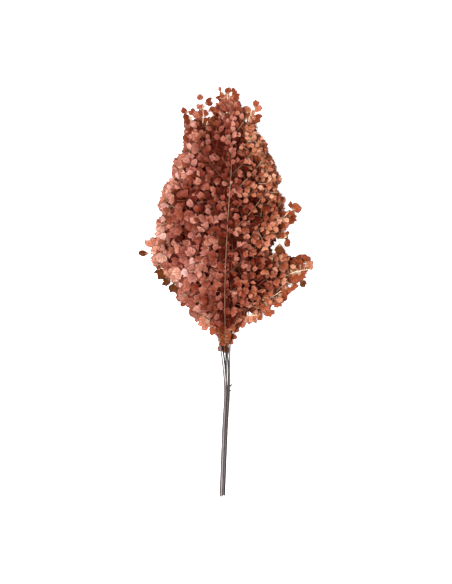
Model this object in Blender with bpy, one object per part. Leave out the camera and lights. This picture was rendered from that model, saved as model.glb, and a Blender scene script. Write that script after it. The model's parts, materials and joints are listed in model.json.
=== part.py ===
"""Five dried maidenhair fronds lying together as one loose bunch.

Metres, +Z up. The bunch lies on the plane z = 0 with its cut stalks towards -Y and its leafy tips towards
+Y. Each frond is one body: a stalk that runs on as the rachis, pinnae on both sides of the rachis, and
fan-shaped leaflets on the pinnae. The fronds lie in three layers that don't touch one another:
low_left and low_right, then high_left and high_right, and on top of them the middle frond.
"""

import math
from random import Random

import bmesh
import bpy
from mathutils import Vector

MM = 0.001

# The whole bunch
NECK_Y = -55 * MM  # where the leaves begin
TIP_Y = 225 * MM  # where the longest frond ends
HALF_WIDTH = 85 * MM  # from the middle line to the widest leaves
MIDDLE_GAP = 0.8 * MM  # left and right fronds of one layer keep this far off the middle line
# How far the leaves reach to the left and to the right of the middle line at each height along the bunch,
# all in millimetres: (y, left, right)
REACH = (
    (-62, -9, 5),
    (-48, -12, 9),
    (-38, -28, 20),
    (-33, -37, 36),
    (-26, -41, 48),
    (-16, -50, 59),
    (-6, -56, 66),
    (8, -68, 88),
    (25, -80, 95),
    (40, -88, 94),
    (47, -97, 72),
    (58, -88, 70),
    (64, -78, 70),
    (78, -78, 73),
    (88, -74, 79),
    (98, -76, 82),
    (107, -74, 64),
    (122, -67, 62),
    (140, -61, 57),
    (152, -53, 49),
    (168, -51, 45),
    (180, -48, 36),
    (190, -50, 38),
    (206, -48, 38),
    (214, -34, 16),
    (221, -30, 13),
    (229, -4, 8),
)

# Stalks and rachises, and the stubs of two side stalks that broke off
STALK_RADIUS = 0.95 * MM
NECK_RADIUS = 0.85 * MM
TIP_RADIUS = 0.65 * MM
STALK_SIDES = 6
STUBS = ((0.72, 3.6 * MM), (0.69, 1.8 * MM))  # share of the stalk's length, length of the stub
STUB_ANGLE = math.radians(38)  # off the stalk, to the right
STUB_RADIUS = 0.7 * MM
STUB_SIDES = 5

# Pinnae: a flat rib with a leaflet on each side by turns and one at its end
FIRST_PINNA = 0.05  # shares of the rachis's length
LAST_PINNA = 0.95
LAST_SHOOT = 0.97  # where the shoot with the frond's last leaflet starts
TIP_SHOOT = 2 * MM  # how far it stands out past the rachis's end
PINNA_ANGLE = math.radians(52)  # off the rachis where a pinna starts
PINNA_TURN = math.radians(20)  # how far it has bent back towards the tip at its end
PINNA_STEP = 8 * MM
PINNA_MARGIN = 8 * MM  # how far inside the bunch's outline a pinna's rib ends
RIB_HALF_WIDTH = 0.65 * MM
RIB_HALF_THICKNESS = 0.45 * MM
RIB_ROOT = 0.55  # the rib's width and thickness where it starts inside the rachis, as a share

# Leaflets
LEAF_LENGTH = 17 * MM
LEAF_WIDTH = 15.5 * MM
LEAF_HALF_THICKNESS = 0.36 * MM  # measured upright, so a leaflet tilted 30 degrees is 0.62 mm thick
LEAF_CUP = 1.6 * MM  # how far the sides sag below the midline
LEAF_ROOT = 0.8 * MM  # half the length of rib that a leaflet grows from
LEAF_GAP = 8 * MM
LEAF_ANGLE = math.radians(60)  # off the pinna
SHINGLE = math.radians(15)  # a pinna is tilted so that its edge nearer the frond's tip is the lower one
SLANT = math.radians(6)  # a leaflet's own tilt, at most
LEAF_MARGIN = 3 * MM  # how far past the bunch's outline a leaflet may stand
LEAF_SIZES = (1, 0.84, 0.7, 0.58)  # a leaflet that would stand further out is made smaller, or left out
FIRST_LEAF = 9 * MM  # bare length at a pinna's root, which leaves a furrow along the rachis
# The fan from its first side round to the other: share of length, share of width, share of cup
FAN = ((0.66, 0.50, 1), (0.98, 0.28, 0.5), (0.88, 0, 0), (0.98, -0.28, 0.5), (0.66, -0.50, 1))
NOTCH = 3  # the point between the two lobes, counted from the root, which all the fan's triangles share

# Height of each layer's middle surface at the neck, where the bunch is fullest and at the tip
LAYERS = {
    "low": {"neck": 8.2 * MM, "full": 8.2 * MM, "tip": 4 * MM, "fall": 1 * MM},
    "high": {"neck": 12.2 * MM, "full": 24.5 * MM, "tip": 2.5 * MM, "fall": 7 * MM},
    "top": {"neck": 16.2 * MM, "full": 41 * MM, "tip": 16 * MM, "fall": 15 * MM},
}
HALF_LAYER = {"neck": 1.5 * MM, "full": 7 * MM, "tip": 4.8 * MM, "fall": 3 * MM}
SWELLING = (-0.02, 0.34)  # shares of the leafy length over which the bunch grows full
WANING = (0.5, 0.92)  # and over which it thins out again

# What the random choices may be: shares of the usual value
PINNA_ANGLES = (0.85, 1.12)
PINNA_LENGTHS = (0.9, 1.1)
PINNA_LIFT = 1 * MM  # up or down, at most
LEAF_ANGLES = (0.85, 1.1)
SIDE_LEAF_SIZES = (0.9, 1.08)
END_LEAF_SIZES = (0.9, 1.05)

# Each frond, in millimetres: its stalk from the cut end (x, y, z), its rachis (x, y), the lengths of its
# pinnae from the first to the last on the left and on the right, how far apart they sit, how high its
# rachis stands above its layer, shoots that break the even rows of pinnae (x, y), each from the point of
# the stalk or rachis that is nearest to its first one, and whether stubs are left on its stalk.
FRONDS = {
    "frond_middle": {
        "layer": "top",
        "side": 0,
        "stalk": (
            (-5.4, -225, 2.9),
            (-2.4, -150, 4.6),
            (-0.3, -112, 7.6),
            (0.2, -85, 11.2),
            (-0.6, -58, 15.8),
        ),
        "rachis": ((-1.5, 0), (0.7, 60), (3.5, 105), (5.5, 137), (4.5, 180), (3, 206)),
        "left": (14, 46, 70, 74, 68, 58, 48, 36, 22),
        "right": (14, 46, 68, 76, 66, 56, 44, 32, 20),
        "spacing": 11.0,
        "crest": 2.5,
        "shoots": (
            ((-0.6, -58), (-1, -52), (-0.5, -48)),
            ((3, 186), (-3, 198), (-5, 206)),
            ((3, 184), (8, 196), (10, 204)),
        ),
        "stubs": False,
    },
    "frond_high_left": {
        "layer": "high",
        "side": -1,
        "stalk": (
            (-4.3, -224, 0.95),
            (-1.3, -150, 2.6),
            (0.6, -112, 5.2),
            (-0.8, -85, 8.3),
            (-4.6, -58, 11.8),
        ),
        "rachis": ((-16, -20), (-30, 30), (-39, 85), (-42, 135), (-37, 172), (-30, 196)),
        "left": (14, 40, 54, 46, 32, 20, 18, 14),
        "right": (12, 26, 32, 36, 34, 26, 20, 12),
        "spacing": 12,
        "crest": 0,
        "shoots": (
            ((-37, 170), (-40, 183), (-42, 192)),
            ((-34, 184), (-25, 194), (-21, 201)),
        ),
        "stubs": False,
    },
    "frond_high_right": {
        "layer": "high",
        "side": 1,
        "stalk": (
            (-3.2, -223, 2.9),
            (-0.2, -150, 4.6),
            (1.9, -112, 7.4),
            (2.6, -85, 9.7),
            (2.0, -58, 12.0),
        ),
        "rachis": ((15, -20), (28, 30), (38, 85), (41, 128), (38, 165), (33, 188)),
        "left": (12, 26, 32, 36, 34, 26, 20, 12),
        "right": (14, 40, 54, 50, 34, 18, 16, 14),
        "spacing": 12,
        "crest": 0,
        "shoots": (((2, -58), (3, -52), (3.5, -48)),),
        "stubs": False,
    },
    "frond_low_left": {
        "layer": "low",
        "side": -1,
        "stalk": (
            (-6.6, -225, 0.95),
            (-3.7, -150, 2.2),
            (-1.7, -112, 4.2),
            (-3.2, -85, 6.2),
            (-7.0, -58, 8.0),
        ),
        "rachis": ((-12, -44), (-24, -28), (-44, -4), (-64, 20), (-78, 36)),
        "left": (8, 14, 20, 20, 14),
        "right": (12, 36, 60, 64, 44, 14),
        "spacing": 11,
        "crest": 0,
        "shoots": (((-7, -58), (-9, -52), (-8, -48)),),
        "stubs": False,
    },
    "frond_low_right": {
        "layer": "low",
        "side": 1,
        "stalk": (
            (-2.05, -224, 0.95),
            (0.95, -150, 2.2),
            (3.2, -112, 4.2),
            (3.4, -85, 6.2),
            (4.2, -58, 8.2),
        ),
        "rachis": ((9, -44), (23, -28), (44, -10), (63, 9), (77, 21)),
        "left": (12, 36, 60, 64, 44, 14),
        "right": (10, 24, 32, 28, 20),
        "spacing": 11,
        "crest": 0,
        "shoots": (
            ((18, -34), (28, -31), (34, -27)),
            ((30, -23), (41, -22), (48, -18)),
            ((44, -10), (54, -10), (60, -7)),
            ((63, 9), (73, 9), (81, 12)),
        ),
        "stubs": True,
    },
}

LEAF_COLOUR = (0.33, 0.105, 0.065, 1)
LEAF_ROUGHNESS = 0.72


def smoothstep(low, high, value):
    share = min(max((value - low) / (high - low), 0), 1)
    return share * share * (3 - 2 * share)


def along_bunch(sizes, y):
    """A size that goes from its value at the neck to the one at the fullest place, then to the tip's."""
    share = (y - NECK_Y) / (TIP_Y - NECK_Y)
    swell = (sizes["full"] - sizes["neck"]) * smoothstep(*SWELLING, share)
    wane = (sizes["tip"] - sizes["full"]) * smoothstep(*WANING, share)
    return sizes["neck"] + swell + wane


def edge_fall(fall, x, y):
    """How far a size with this fall has sunk at x towards the edges, where the bunch is full."""
    edge = min(abs(x) / HALF_WIDTH, 1) ** 2
    share = (y - NECK_Y) / (TIP_Y - NECK_Y)
    full = smoothstep(*SWELLING, share) * (1 - smoothstep(*WANING, share))
    return fall * edge * full


def layer_height(layer, x, y):
    """The height of a layer's middle surface."""
    return along_bunch(LAYERS[layer], y) - edge_fall(LAYERS[layer]["fall"], x, y)


def layer_limits(layer, x, y):
    """The lowest and highest a leaflet's middle surface may be.

    The low layer reaches down to the ground.
    """
    half = along_bunch(HALF_LAYER, y) - edge_fall(HALF_LAYER["fall"], x, y)
    middle = layer_height(layer, x, y)
    low = 0 if layer == "low" else middle - half
    return max(low, LEAF_HALF_THICKNESS), middle + half


def outside(point, margin):
    """Whether a point is within the margin of the bunch's outline, or past it."""
    y = point.y / MM
    for (low, *first), (high, *second) in zip(REACH, REACH[1:]):
        if low <= y <= high:
            share = (y - low) / (high - low)
            left, right = (a + (b - a) * share for a, b in zip(first, second))
            return not left * MM + margin < point.x < right * MM - margin
    return True


def smooth_path(points, per_span):
    """A Catmull-Rom curve through the points."""
    ends = [points[0] * 2 - points[1], *points, points[-1] * 2 - points[-2]]
    path = []
    for a, b, c, d in zip(ends, ends[1:], ends[2:], ends[3:]):
        for step in range(per_span):
            t = step / per_span
            bend = (2 * a - 5 * b + 4 * c - d) * t**2 + (3 * b - a - 3 * c + d) * t**3
            path.append(0.5 * (2 * b + (c - a) * t + bend))
    path.append(points[-1].copy())
    return path


def at_length(path, length):
    """The point that far along the path, and the direction there."""
    for a, b in zip(path, path[1:]):
        span = (b - a).length
        if length <= span or b is path[-1]:
            return a.lerp(b, length / span), (b - a).normalized()
        length -= span


def path_length(path):
    return sum((b - a).length for a, b in zip(path, path[1:]))


def between(values, share):
    """Reads a value from an evenly spaced list, straight between its entries."""
    place = min(max(share, 0), 1) * (len(values) - 1)
    index = min(int(place), len(values) - 2)
    return values[index] + (values[index + 1] - values[index]) * (place - index)


def turned(direction, angle):
    """A direction in plan, turned to the left by the angle."""
    cos, sin = math.cos(angle), math.sin(angle)
    x, y = direction.x, direction.y
    return Vector((x * cos - y * sin, x * sin + y * cos, 0)).normalized()


def spine_of(spec):
    """The stalk and the rachis as one smooth path, and the rachis alone."""
    stalk = [Vector(point) * MM for point in spec["stalk"]]
    rachis = []
    for x, y in spec["rachis"]:
        height = layer_height(spec["layer"], x * MM, y * MM) + spec["crest"] * MM
        rachis.append(Vector((x * MM, y * MM, height)))
    whole = smooth_path(stalk + rachis, 3)
    return whole, whole[3 * (len(stalk) - 1) :]


def pinna_path(spec, root, direction, hand, reach, chance):
    """The centreline of one pinna, which bends back towards the tip and stays inside its layer."""
    angle = PINNA_ANGLE * chance.uniform(*PINNA_ANGLES)
    lift = chance.uniform(-1, 1) * PINNA_LIFT
    steps = max(2, round(reach / PINNA_STEP))
    path = [root]
    for step in range(steps):
        done = (step + 0.5) / steps
        heading = turned(direction, hand * (angle - PINNA_TURN * done))
        place = path[-1] + heading * reach / steps
        if spec["side"] and spec["side"] * place.x < 2 * MIDDLE_GAP or outside(place, PINNA_MARGIN):
            break
        place.z = rib_height(spec, place, lift, (step + 1) / steps)
        path.append(place)
    return path


def rib_height(spec, place, lift, done):
    """The height of a rib's centreline, which in the low layer sinks to the ground towards its end."""
    low, high = layer_limits(spec["layer"], place.x, place.y)
    height = layer_height(spec["layer"], place.x, place.y) + lift
    if spec["layer"] == "low":
        height += (low - height) * done**2
    slack = RIB_HALF_THICKNESS - LEAF_HALF_THICKNESS
    return min(max(height, low + slack), high - slack)


def shoot_path(spec, spine, points):
    """The centreline of a shoot, which leaves the row of pinnae: from the spine out through the points."""
    start = Vector(points[0]) * MM
    path = [min(spine, key=lambda point: (point.xy - start).length)]
    for index, point in enumerate(points[1:], 1):
        place = Vector((*point, 0)) * MM
        place.z = rib_height(spec, place, 0, index / (len(points) - 1))
        path.append(place)
    return path


def fitted_leaf(spec, root, rib, hand, heading, size, slant, downhill):
    """The largest leaflet that fits there, or None."""
    for share in LEAF_SIZES:
        fan = leaf_outline(spec, root, rib, hand, heading, size * share, slant, downhill)
        if fan:
            return fan
    return None


def leaf_outline(spec, root, rib, hand, heading, size, slant, downhill):
    """The fan of one leaflet from its first side round to the other, inside its layer.

    It is None where it would cross the middle line or stand out of the bunch.
    The tilt falls towards downhill.
    """
    across = turned(heading, math.pi / 2)
    points = []
    for along, beside, cup in FAN:
        offset = heading * (along * LEAF_LENGTH * size) + across * (beside * hand * LEAF_WIDTH * size)
        point = root + offset
        climb = rib.z * offset.dot(rib) / max(1 - rib.z**2, 0.1)
        point.z += climb - offset.dot(downhill) * math.tan(SHINGLE) + offset.length * math.tan(slant)
        point.z -= cup * LEAF_CUP * size
        low, high = layer_limits(spec["layer"], point.x, point.y)
        point.z = min(max(point.z, low), high)
        if spec["side"] and spec["side"] * point.x < MIDDLE_GAP or outside(point, -LEAF_MARGIN):
            return None
        points.append(point)
    return points


def rib_edge(path, length, hand, share=1):
    """A point on the edge of the rib, on the left where hand is 1."""
    point, direction = at_length(path, length)
    return point + turned(direction, hand * math.pi / 2) * RIB_HALF_WIDTH * share


def pinna_parts(spec, path, hand, chance):
    """The two edges of a pinna's rib, and the fan at its end.

    Each edge is a list of (distance along the rib, point, the fan that starts there or None).
    """
    whole = path_length(path)
    edges = {}
    for side in (1, -1):
        edges[side] = [(0, rib_edge(path, 0, side, RIB_ROOT), None)]
    count = max(0, int((whole - FIRST_LEAF - LEAF_ROOT) / LEAF_GAP) + 1)
    side = -hand
    for index in range(count):
        length = FIRST_LEAF + LEAF_GAP * index
        point, direction = at_length(path, length)
        heading = turned(direction, side * LEAF_ANGLE * chance.uniform(*LEAF_ANGLES))
        size = chance.uniform(*SIDE_LEAF_SIZES)
        slant = SLANT * chance.uniform(-1, 1)
        downhill = turned(direction, -hand * math.pi / 2)
        fan = fitted_leaf(spec, point, direction, side, heading, size, slant, downhill)
        if fan and length + 2 * LEAF_ROOT < whole:
            edges[side].append((length - LEAF_ROOT, rib_edge(path, length - LEAF_ROOT, side), fan))
            edges[side].append((length + LEAF_ROOT, rib_edge(path, length + LEAF_ROOT, side), None))
        side = -side
    point, direction = at_length(path, whole)
    downhill = turned(direction, -hand * math.pi / 2)
    size = chance.uniform(*END_LEAF_SIZES)
    slant = SLANT * chance.uniform(-1, 1)
    end_fan = fitted_leaf(spec, point, direction, 1, turned(direction, 0), size, slant, downhill)
    for side in (1, -1):
        edges[side].append((whole, rib_edge(path, whole, side), None))
    return edges, end_fan


def pinna_mesh(edges, end_fan):
    """One closed blade: the rib with its leaflets, split into the same triangles above and below."""
    mesh = bmesh.new()
    loop = []
    ribs = {1: [], -1: []}
    fans = []

    def add(point, half):
        rise = Vector((0, 0, half))
        pair = (mesh.verts.new(point + rise), mesh.verts.new(point - rise))
        loop.append(pair)
        return pair

    def add_fan(outline, start):
        return [start] + [add(point, LEAF_HALF_THICKNESS) for point in outline]

    def add_rib(side, length, point):
        pair = add(point, RIB_HALF_THICKNESS * (1 if length else RIB_ROOT))
        ribs[side].append((length, pair))
        if fans and len(fans[-1]) == len(FAN) + 1:
            fans[-1].append(pair)
        return pair

    for length, point, fan in edges[1]:
        pair = add_rib(1, length, point)
        if fan:
            fans.append(add_fan(fan, pair))
    if end_fan:
        fans.append(add_fan(end_fan, pair))
    for index in reversed(range(len(edges[-1]))):
        length, point, _ = edges[-1][index]
        pair = add_rib(-1, length, point)
        before = edges[-1][index - 1][2] if index else None
        if before:
            fans.append(add_fan(before[::-1], pair))
    ribs[-1].reverse()

    def face(a, b, c):
        mesh.faces.new((a[0], b[0], c[0]))
        mesh.faces.new((a[1], c[1], b[1]))

    for fan in fans:
        count = len(fan)
        for step in range(1, count - 1):
            face(fan[NOTCH], fan[(NOTCH + step) % count], fan[(NOTCH + step + 1) % count])
    at = {1: 0, -1: 0}
    while at[1] < len(ribs[1]) - 1 or at[-1] < len(ribs[-1]) - 1:
        ahead = {}
        for side in (1, -1):
            more = at[side] < len(ribs[side]) - 1
            ahead[side] = ribs[side][at[side] + 1][0] if more else math.inf
        side = 1 if ahead[1] <= ahead[-1] else -1
        face(ribs[1][at[1]][1], ribs[-1][at[-1]][1], ribs[side][at[side] + 1][1])
        at[side] += 1
    for a, b in zip(loop, loop[1:] + loop[:1]):
        mesh.faces.new((a[0], b[0], b[1], a[1]))
    return finished(mesh, "pinna")


def tube_mesh(name, path, radii, sides):
    """A closed tube along a path, flat at both ends."""
    mesh = bmesh.new()
    rings = []
    for index, point in enumerate(path):
        ahead = (path[min(index + 1, len(path) - 1)] - path[max(index - 1, 0)]).normalized()
        across = ahead.cross(Vector((0, 0, 1))).normalized()
        up = across.cross(ahead)
        ring = []
        for side in range(sides):
            turn = 2 * math.pi * (side + 0.5) / sides
            spoke = across * math.cos(turn) + up * math.sin(turn)
            ring.append(mesh.verts.new(point + spoke * radii[index]))
        rings.append(ring)
    for first, second in zip(rings, rings[1:]):
        for side in range(sides):
            after = (side + 1) % sides
            mesh.faces.new((first[side], first[after], second[after], second[side]))
    mesh.faces.new(rings[0][::-1])
    mesh.faces.new(rings[-1])
    return finished(mesh, name)


def finished(mesh, name):
    """Turns a bmesh into a mesh whose faces point outwards."""
    bmesh.ops.recalc_face_normals(mesh, faces=mesh.faces)
    data = bpy.data.meshes.new(name)
    mesh.to_mesh(data)
    mesh.free()
    return data


def leaf_material():
    material = bpy.data.materials.new("dried_leaf")
    material.use_nodes = True
    shader = material.node_tree.nodes["Principled BSDF"]
    shader.inputs["Base Color"].default_value = LEAF_COLOUR
    shader.inputs["Roughness"].default_value = LEAF_ROUGHNESS
    shader.inputs["Metallic"].default_value = 0
    return material


def fused(name, base, pieces):
    """One body made of the base and all the pieces that grow from it."""
    node = bpy.data.objects.new(name, base)
    bpy.context.scene.collection.objects.link(node)
    group = bpy.data.collections.new(name + "_pieces")
    bpy.context.scene.collection.children.link(group)
    for piece in pieces:
        group.objects.link(bpy.data.objects.new(piece.name, piece))
    union = node.modifiers.new("union", "BOOLEAN")
    union.operation = "UNION"
    union.operand_type = "COLLECTION"
    union.collection = group
    union.solver = "MANIFOLD"  # the exact solver leaves some leaflets as loose bodies here
    bpy.context.view_layer.update()
    evaluated = node.evaluated_get(bpy.context.evaluated_depsgraph_get())
    joined = bpy.data.meshes.new_from_object(evaluated)
    node.modifiers.clear()
    node.data = joined
    for helper in list(group.objects):
        bpy.data.objects.remove(helper)
    bpy.data.collections.remove(group)
    return node


def stubs_of(stalk):
    """Broken-off side stalks, pointing up along the stalk and out to the right."""
    stubs = []
    for share, length in STUBS:
        root, direction = at_length(stalk, share * path_length(stalk))
        end = root + turned(direction, -STUB_ANGLE) * (length + STALK_RADIUS)
        stubs.append(tube_mesh("stub", [root, end], [STUB_RADIUS, 0.8 * STUB_RADIUS], STUB_SIDES))
    return stubs


def make_frond(name, spec, material):
    """One frond: its stalk and rachis, its pinnae and its leaflets, joined in one body."""
    spine, rachis = spine_of(spec)
    bare = len(spine) - len(rachis)
    radii = []
    for index in range(len(spine)):
        if index <= bare:
            radii.append(STALK_RADIUS + (NECK_RADIUS - STALK_RADIUS) * index / bare)
        else:
            radii.append(NECK_RADIUS + (TIP_RADIUS - NECK_RADIUS) * (index - bare) / (len(rachis) - 1))
    base = tube_mesh(name, spine, radii, STALK_SIDES)
    whole = path_length(rachis)
    count = round(whole * (LAST_PINNA - FIRST_PINNA) / (spec["spacing"] * MM))
    ribs = []
    pieces = []
    leaflets = 0
    for index in range(count + 2):
        chance = Random(f"{name} pinna {index}")
        hand = 1 if index % 2 else -1  # 1 is to the left, looking towards the tip
        if index <= count:
            share = FIRST_PINNA + (LAST_PINNA - FIRST_PINNA) * index / count
            root, direction = at_length(rachis, share * whole)
            reach = between(spec["left"] if hand > 0 else spec["right"], index / count) * MM
            reach *= chance.uniform(*PINNA_LENGTHS)
            path = pinna_path(spec, root, direction, hand, reach, chance)
        else:
            root, direction = at_length(rachis, LAST_SHOOT * whole)
            path = [root, rachis[-1] + direction * TIP_SHOOT]
        if len(path) > 1:
            ribs.append((path, hand, chance))
    for index, points in enumerate(spec["shoots"]):
        hand = 1 if index % 2 else -1
        ribs.append((shoot_path(spec, spine, points), hand, Random(f"{name} shoot {index}")))
    for path, hand, chance in ribs:
        edges, end_fan = pinna_parts(spec, smooth_path(path, 2), hand, chance)
        leaflets += sum(1 for side in edges.values() for entry in side if entry[2]) + bool(end_fan)
        pieces.append(pinna_mesh(edges, end_fan))
    if spec["stubs"]:
        pieces += stubs_of(spine[: bare + 1])
    node = fused(name, base, pieces)
    node.data.materials.clear()
    node.data.materials.append(material)
    triangles = sum(len(face.vertices) - 2 for face in node.data.polygons)
    print(name, "pinnae", len(pieces), "leaflets", leaflets, "triangles", triangles)
    return node


def main():
    for obj in list(bpy.data.objects):
        bpy.data.objects.remove(obj)
    material = leaf_material()
    for name, spec in FRONDS.items():
        make_frond(name, spec, material)


main()
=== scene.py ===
import json
import math
from random import Random

import bpy
import numpy as np
from mathutils import Matrix, Vector

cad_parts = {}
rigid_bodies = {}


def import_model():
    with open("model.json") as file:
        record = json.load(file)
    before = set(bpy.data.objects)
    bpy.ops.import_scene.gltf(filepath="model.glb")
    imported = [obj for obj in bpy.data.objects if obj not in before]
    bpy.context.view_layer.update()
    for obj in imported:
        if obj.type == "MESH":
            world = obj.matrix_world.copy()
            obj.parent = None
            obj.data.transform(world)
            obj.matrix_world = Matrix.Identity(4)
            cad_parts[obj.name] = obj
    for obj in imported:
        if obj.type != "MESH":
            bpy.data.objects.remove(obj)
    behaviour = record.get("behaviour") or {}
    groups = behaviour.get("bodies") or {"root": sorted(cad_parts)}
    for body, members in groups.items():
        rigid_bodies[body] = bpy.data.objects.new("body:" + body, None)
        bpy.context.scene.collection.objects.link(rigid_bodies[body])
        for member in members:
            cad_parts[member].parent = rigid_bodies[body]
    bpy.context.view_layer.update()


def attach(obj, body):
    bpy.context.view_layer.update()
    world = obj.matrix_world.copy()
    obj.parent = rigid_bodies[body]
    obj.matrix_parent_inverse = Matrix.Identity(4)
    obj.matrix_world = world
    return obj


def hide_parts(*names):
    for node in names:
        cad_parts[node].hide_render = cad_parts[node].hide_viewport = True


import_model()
mm = 0.001
up = Vector((0, 0, 1))


# Where the bunch lies and how far it reaches, the same as in the solids
bunch = {
    "neckY": -55 * mm,
    "tipY": 225 * mm,
    "halfWidth": 85 * mm,
    "middleGap": 1.6 * mm,
    "spineSteps": 3,
    "swell": (-0.02, 0.34),  # shares of the bunch's length over which it grows full, and thin again
    "wane": (0.5, 0.92),
    # (y, left, right) in millimetres
    "reach": (
        (-62, -9, 5), (-48, -12, 9), (-38, -28, 20), (-33, -37, 36), (-26, -41, 48), (-16, -50, 59),
        (-6, -56, 66), (8, -68, 88), (25, -80, 95), (40, -88, 94), (47, -97, 72), (58, -88, 70),
        (64, -78, 70), (78, -78, 73), (88, -74, 79), (98, -76, 82), (107, -74, 64), (122, -67, 62),
        (140, -61, 57), (152, -53, 49), (168, -51, 45), (180, -48, 36), (190, -50, 38), (206, -48, 38),
        (214, -34, 16), (221, -30, 13), (229, -4, 8),
    ),
    "layers": {
        "low": {"neck": 8.2 * mm, "full": 8.2 * mm, "tip": 4 * mm, "fall": 1 * mm},
        "high": {"neck": 12.2 * mm, "full": 24.5 * mm, "tip": 2.5 * mm, "fall": 7 * mm},
        "top": {"neck": 16.2 * mm, "full": 41 * mm, "tip": 16 * mm, "fall": 15 * mm},
    },
    "halfLayer": {"neck": 1.5 * mm, "full": 7 * mm, "tip": 4.8 * mm, "fall": 3 * mm},
}

# How a pinna leaves the rachis, and where the side shoots stand on it
pinna = {
    "first": 0.05,
    "last": 0.95,
    "lastShoot": 0.97,
    "tipShoot": 2 * mm,
    "angle": math.radians(52),
    "turn": math.radians(20),
    "step": 8 * mm,
    "lift": 1 * mm,
    "margin": 8 * mm,
    "firstShoot": 9 * mm,
    "shootGap": 8 * mm,
    "shootAngle": math.radians(60),
    "shootLength": 17 * mm,
    "shingle": math.radians(15),
    "slant": math.radians(6),
    "angleSpread": (0.85, 1.12),
    "reachSpread": (0.9, 1.1),
    "shootSpread": (0.85, 1.1),
    "sizeSpread": (0.9, 1.08),
    "firstEnd": 0.8 * mm,  # how far before its tip a pinna's shoots end
    "lastEnd": 1.6 * mm,
    "clearance": 0.36 * mm,
    "ribSlack": 0.09 * mm,
    "sunk": 0.9 * mm,
}

# Stalk (x, y, z), rachis (x, y) and pinna lengths, all in millimetres
fronds = {
    "frond_middle": {
        "layer": "top",
        "side": 0,
        "stalk": (
            (-5.4, -225, 2.9), (-2.4, -150, 4.6), (-0.3, -112, 7.6), (0.2, -85, 11.2), (-0.6, -58, 15.8),
        ),
        "rachis": ((-1.5, 0), (0.7, 60), (3.5, 105), (5.5, 137), (4.5, 180), (3, 206)),
        "left": (14, 46, 70, 74, 68, 58, 48, 36, 22),
        "right": (14, 46, 68, 76, 66, 56, 44, 32, 20),
        "spacing": 11.0,
        "crest": 2.5,
        "shoots": (
            ((-0.6, -58), (-1, -52), (-0.5, -48)), ((3, 186), (-3, 198), (-5, 206)),
            ((3, 184), (8, 196), (10, 204)),
        ),
    },
    "frond_high_left": {
        "layer": "high",
        "side": -1,
        "stalk": (
            (-4.3, -224, 0.95), (-1.3, -150, 2.6), (0.6, -112, 5.2), (-0.8, -85, 8.3), (-4.6, -58, 11.8),
        ),
        "rachis": ((-16, -20), (-30, 30), (-39, 85), (-42, 135), (-37, 172), (-30, 196)),
        "left": (14, 40, 54, 46, 32, 20, 18, 14),
        "right": (12, 26, 32, 36, 34, 26, 20, 12),
        "spacing": 12,
        "shoots": (((-37, 170), (-40, 183), (-42, 192)), ((-34, 184), (-25, 194), (-21, 201))),
    },
    "frond_high_right": {
        "layer": "high",
        "side": 1,
        "stalk": (
            (-3.2, -223, 2.9), (-0.2, -150, 4.6), (1.9, -112, 7.4), (2.6, -85, 9.7), (2.0, -58, 12.0),
        ),
        "rachis": ((15, -20), (28, 30), (38, 85), (41, 128), (38, 165), (33, 188)),
        "left": (12, 26, 32, 36, 34, 26, 20, 12),
        "right": (14, 40, 54, 50, 34, 18, 16, 14),
        "spacing": 12,
        "shoots": (((2, -58), (3, -52), (3.5, -48)),),
    },
    "frond_low_left": {
        "layer": "low",
        "side": -1,
        "stalk": (
            (-6.6, -225, 0.95), (-3.7, -150, 2.2), (-1.7, -112, 4.2), (-3.2, -85, 6.2), (-7.0, -58, 8.0),
        ),
        "rachis": ((-12, -44), (-24, -28), (-44, -4), (-64, 20), (-78, 36)),
        "left": (8, 14, 20, 20, 14),
        "right": (12, 36, 60, 64, 44, 14),
        "spacing": 11,
        "shoots": (((-7, -58), (-9, -52), (-8, -48)),),
    },
    "frond_low_right": {
        "layer": "low",
        "side": 1,
        "stalk": (
            (-2.05, -224, 0.95), (0.95, -150, 2.2), (3.2, -112, 4.2), (3.4, -85, 6.2), (4.2, -58, 8.2),
        ),
        "rachis": ((9, -44), (23, -28), (44, -10), (63, 9), (77, 21)),
        "left": (12, 36, 60, 64, 44, 14),
        "right": (10, 24, 32, 28, 20),
        "spacing": 11,
        "shoots": (
            ((18, -34), (28, -31), (34, -27)), ((30, -23), (41, -22), (48, -18)),
            ((44, -10), (54, -10), (60, -7)), ((63, 9), (73, 9), (81, 12)),
        ),
        "stubs": True,
    },
}


def smoothStep(low, high, value):
    share = min(max((value - low) / (high - low), 0), 1)
    return share * share * (3 - 2 * share)


def sizeAt(sizes, x, y):
    # From the neck over the full middle to the tip, and less at the sides where the bunch is full
    share = (y - bunch["neckY"]) / (bunch["tipY"] - bunch["neckY"])
    swell, wane = smoothStep(*bunch["swell"], share), smoothStep(*bunch["wane"], share)
    size = sizes["neck"] + (sizes["full"] - sizes["neck"]) * swell + (sizes["tip"] - sizes["full"]) * wane
    edge = min(abs(x) / bunch["halfWidth"], 1) ** 2
    return size - sizes["fall"] * edge * (swell * (1 - wane))


def layerHeight(layer, x, y):
    # The middle of a layer
    return sizeAt(bunch["layers"][layer], x, y)


def layerLimits(layer, x, y):
    middle, half = layerHeight(layer, x, y), sizeAt(bunch["halfLayer"], x, y)
    low = 0 if layer == "low" else middle - half
    return max(low, pinna["clearance"]), middle + half


def rowAt(rows, y):
    # The places that a table of (y, places) in millimetres gives between two of its rows
    for (low, *first), (high, *second) in zip(rows, rows[1:]):
        if low <= y / mm <= high:
            return [(a + (b - a) * (y / mm - low) / (high - low)) * mm for a, b in zip(first, second)]


def within(ends, x, margin):
    return ends is not None and ends[0] + margin < x < ends[1] - margin


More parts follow.
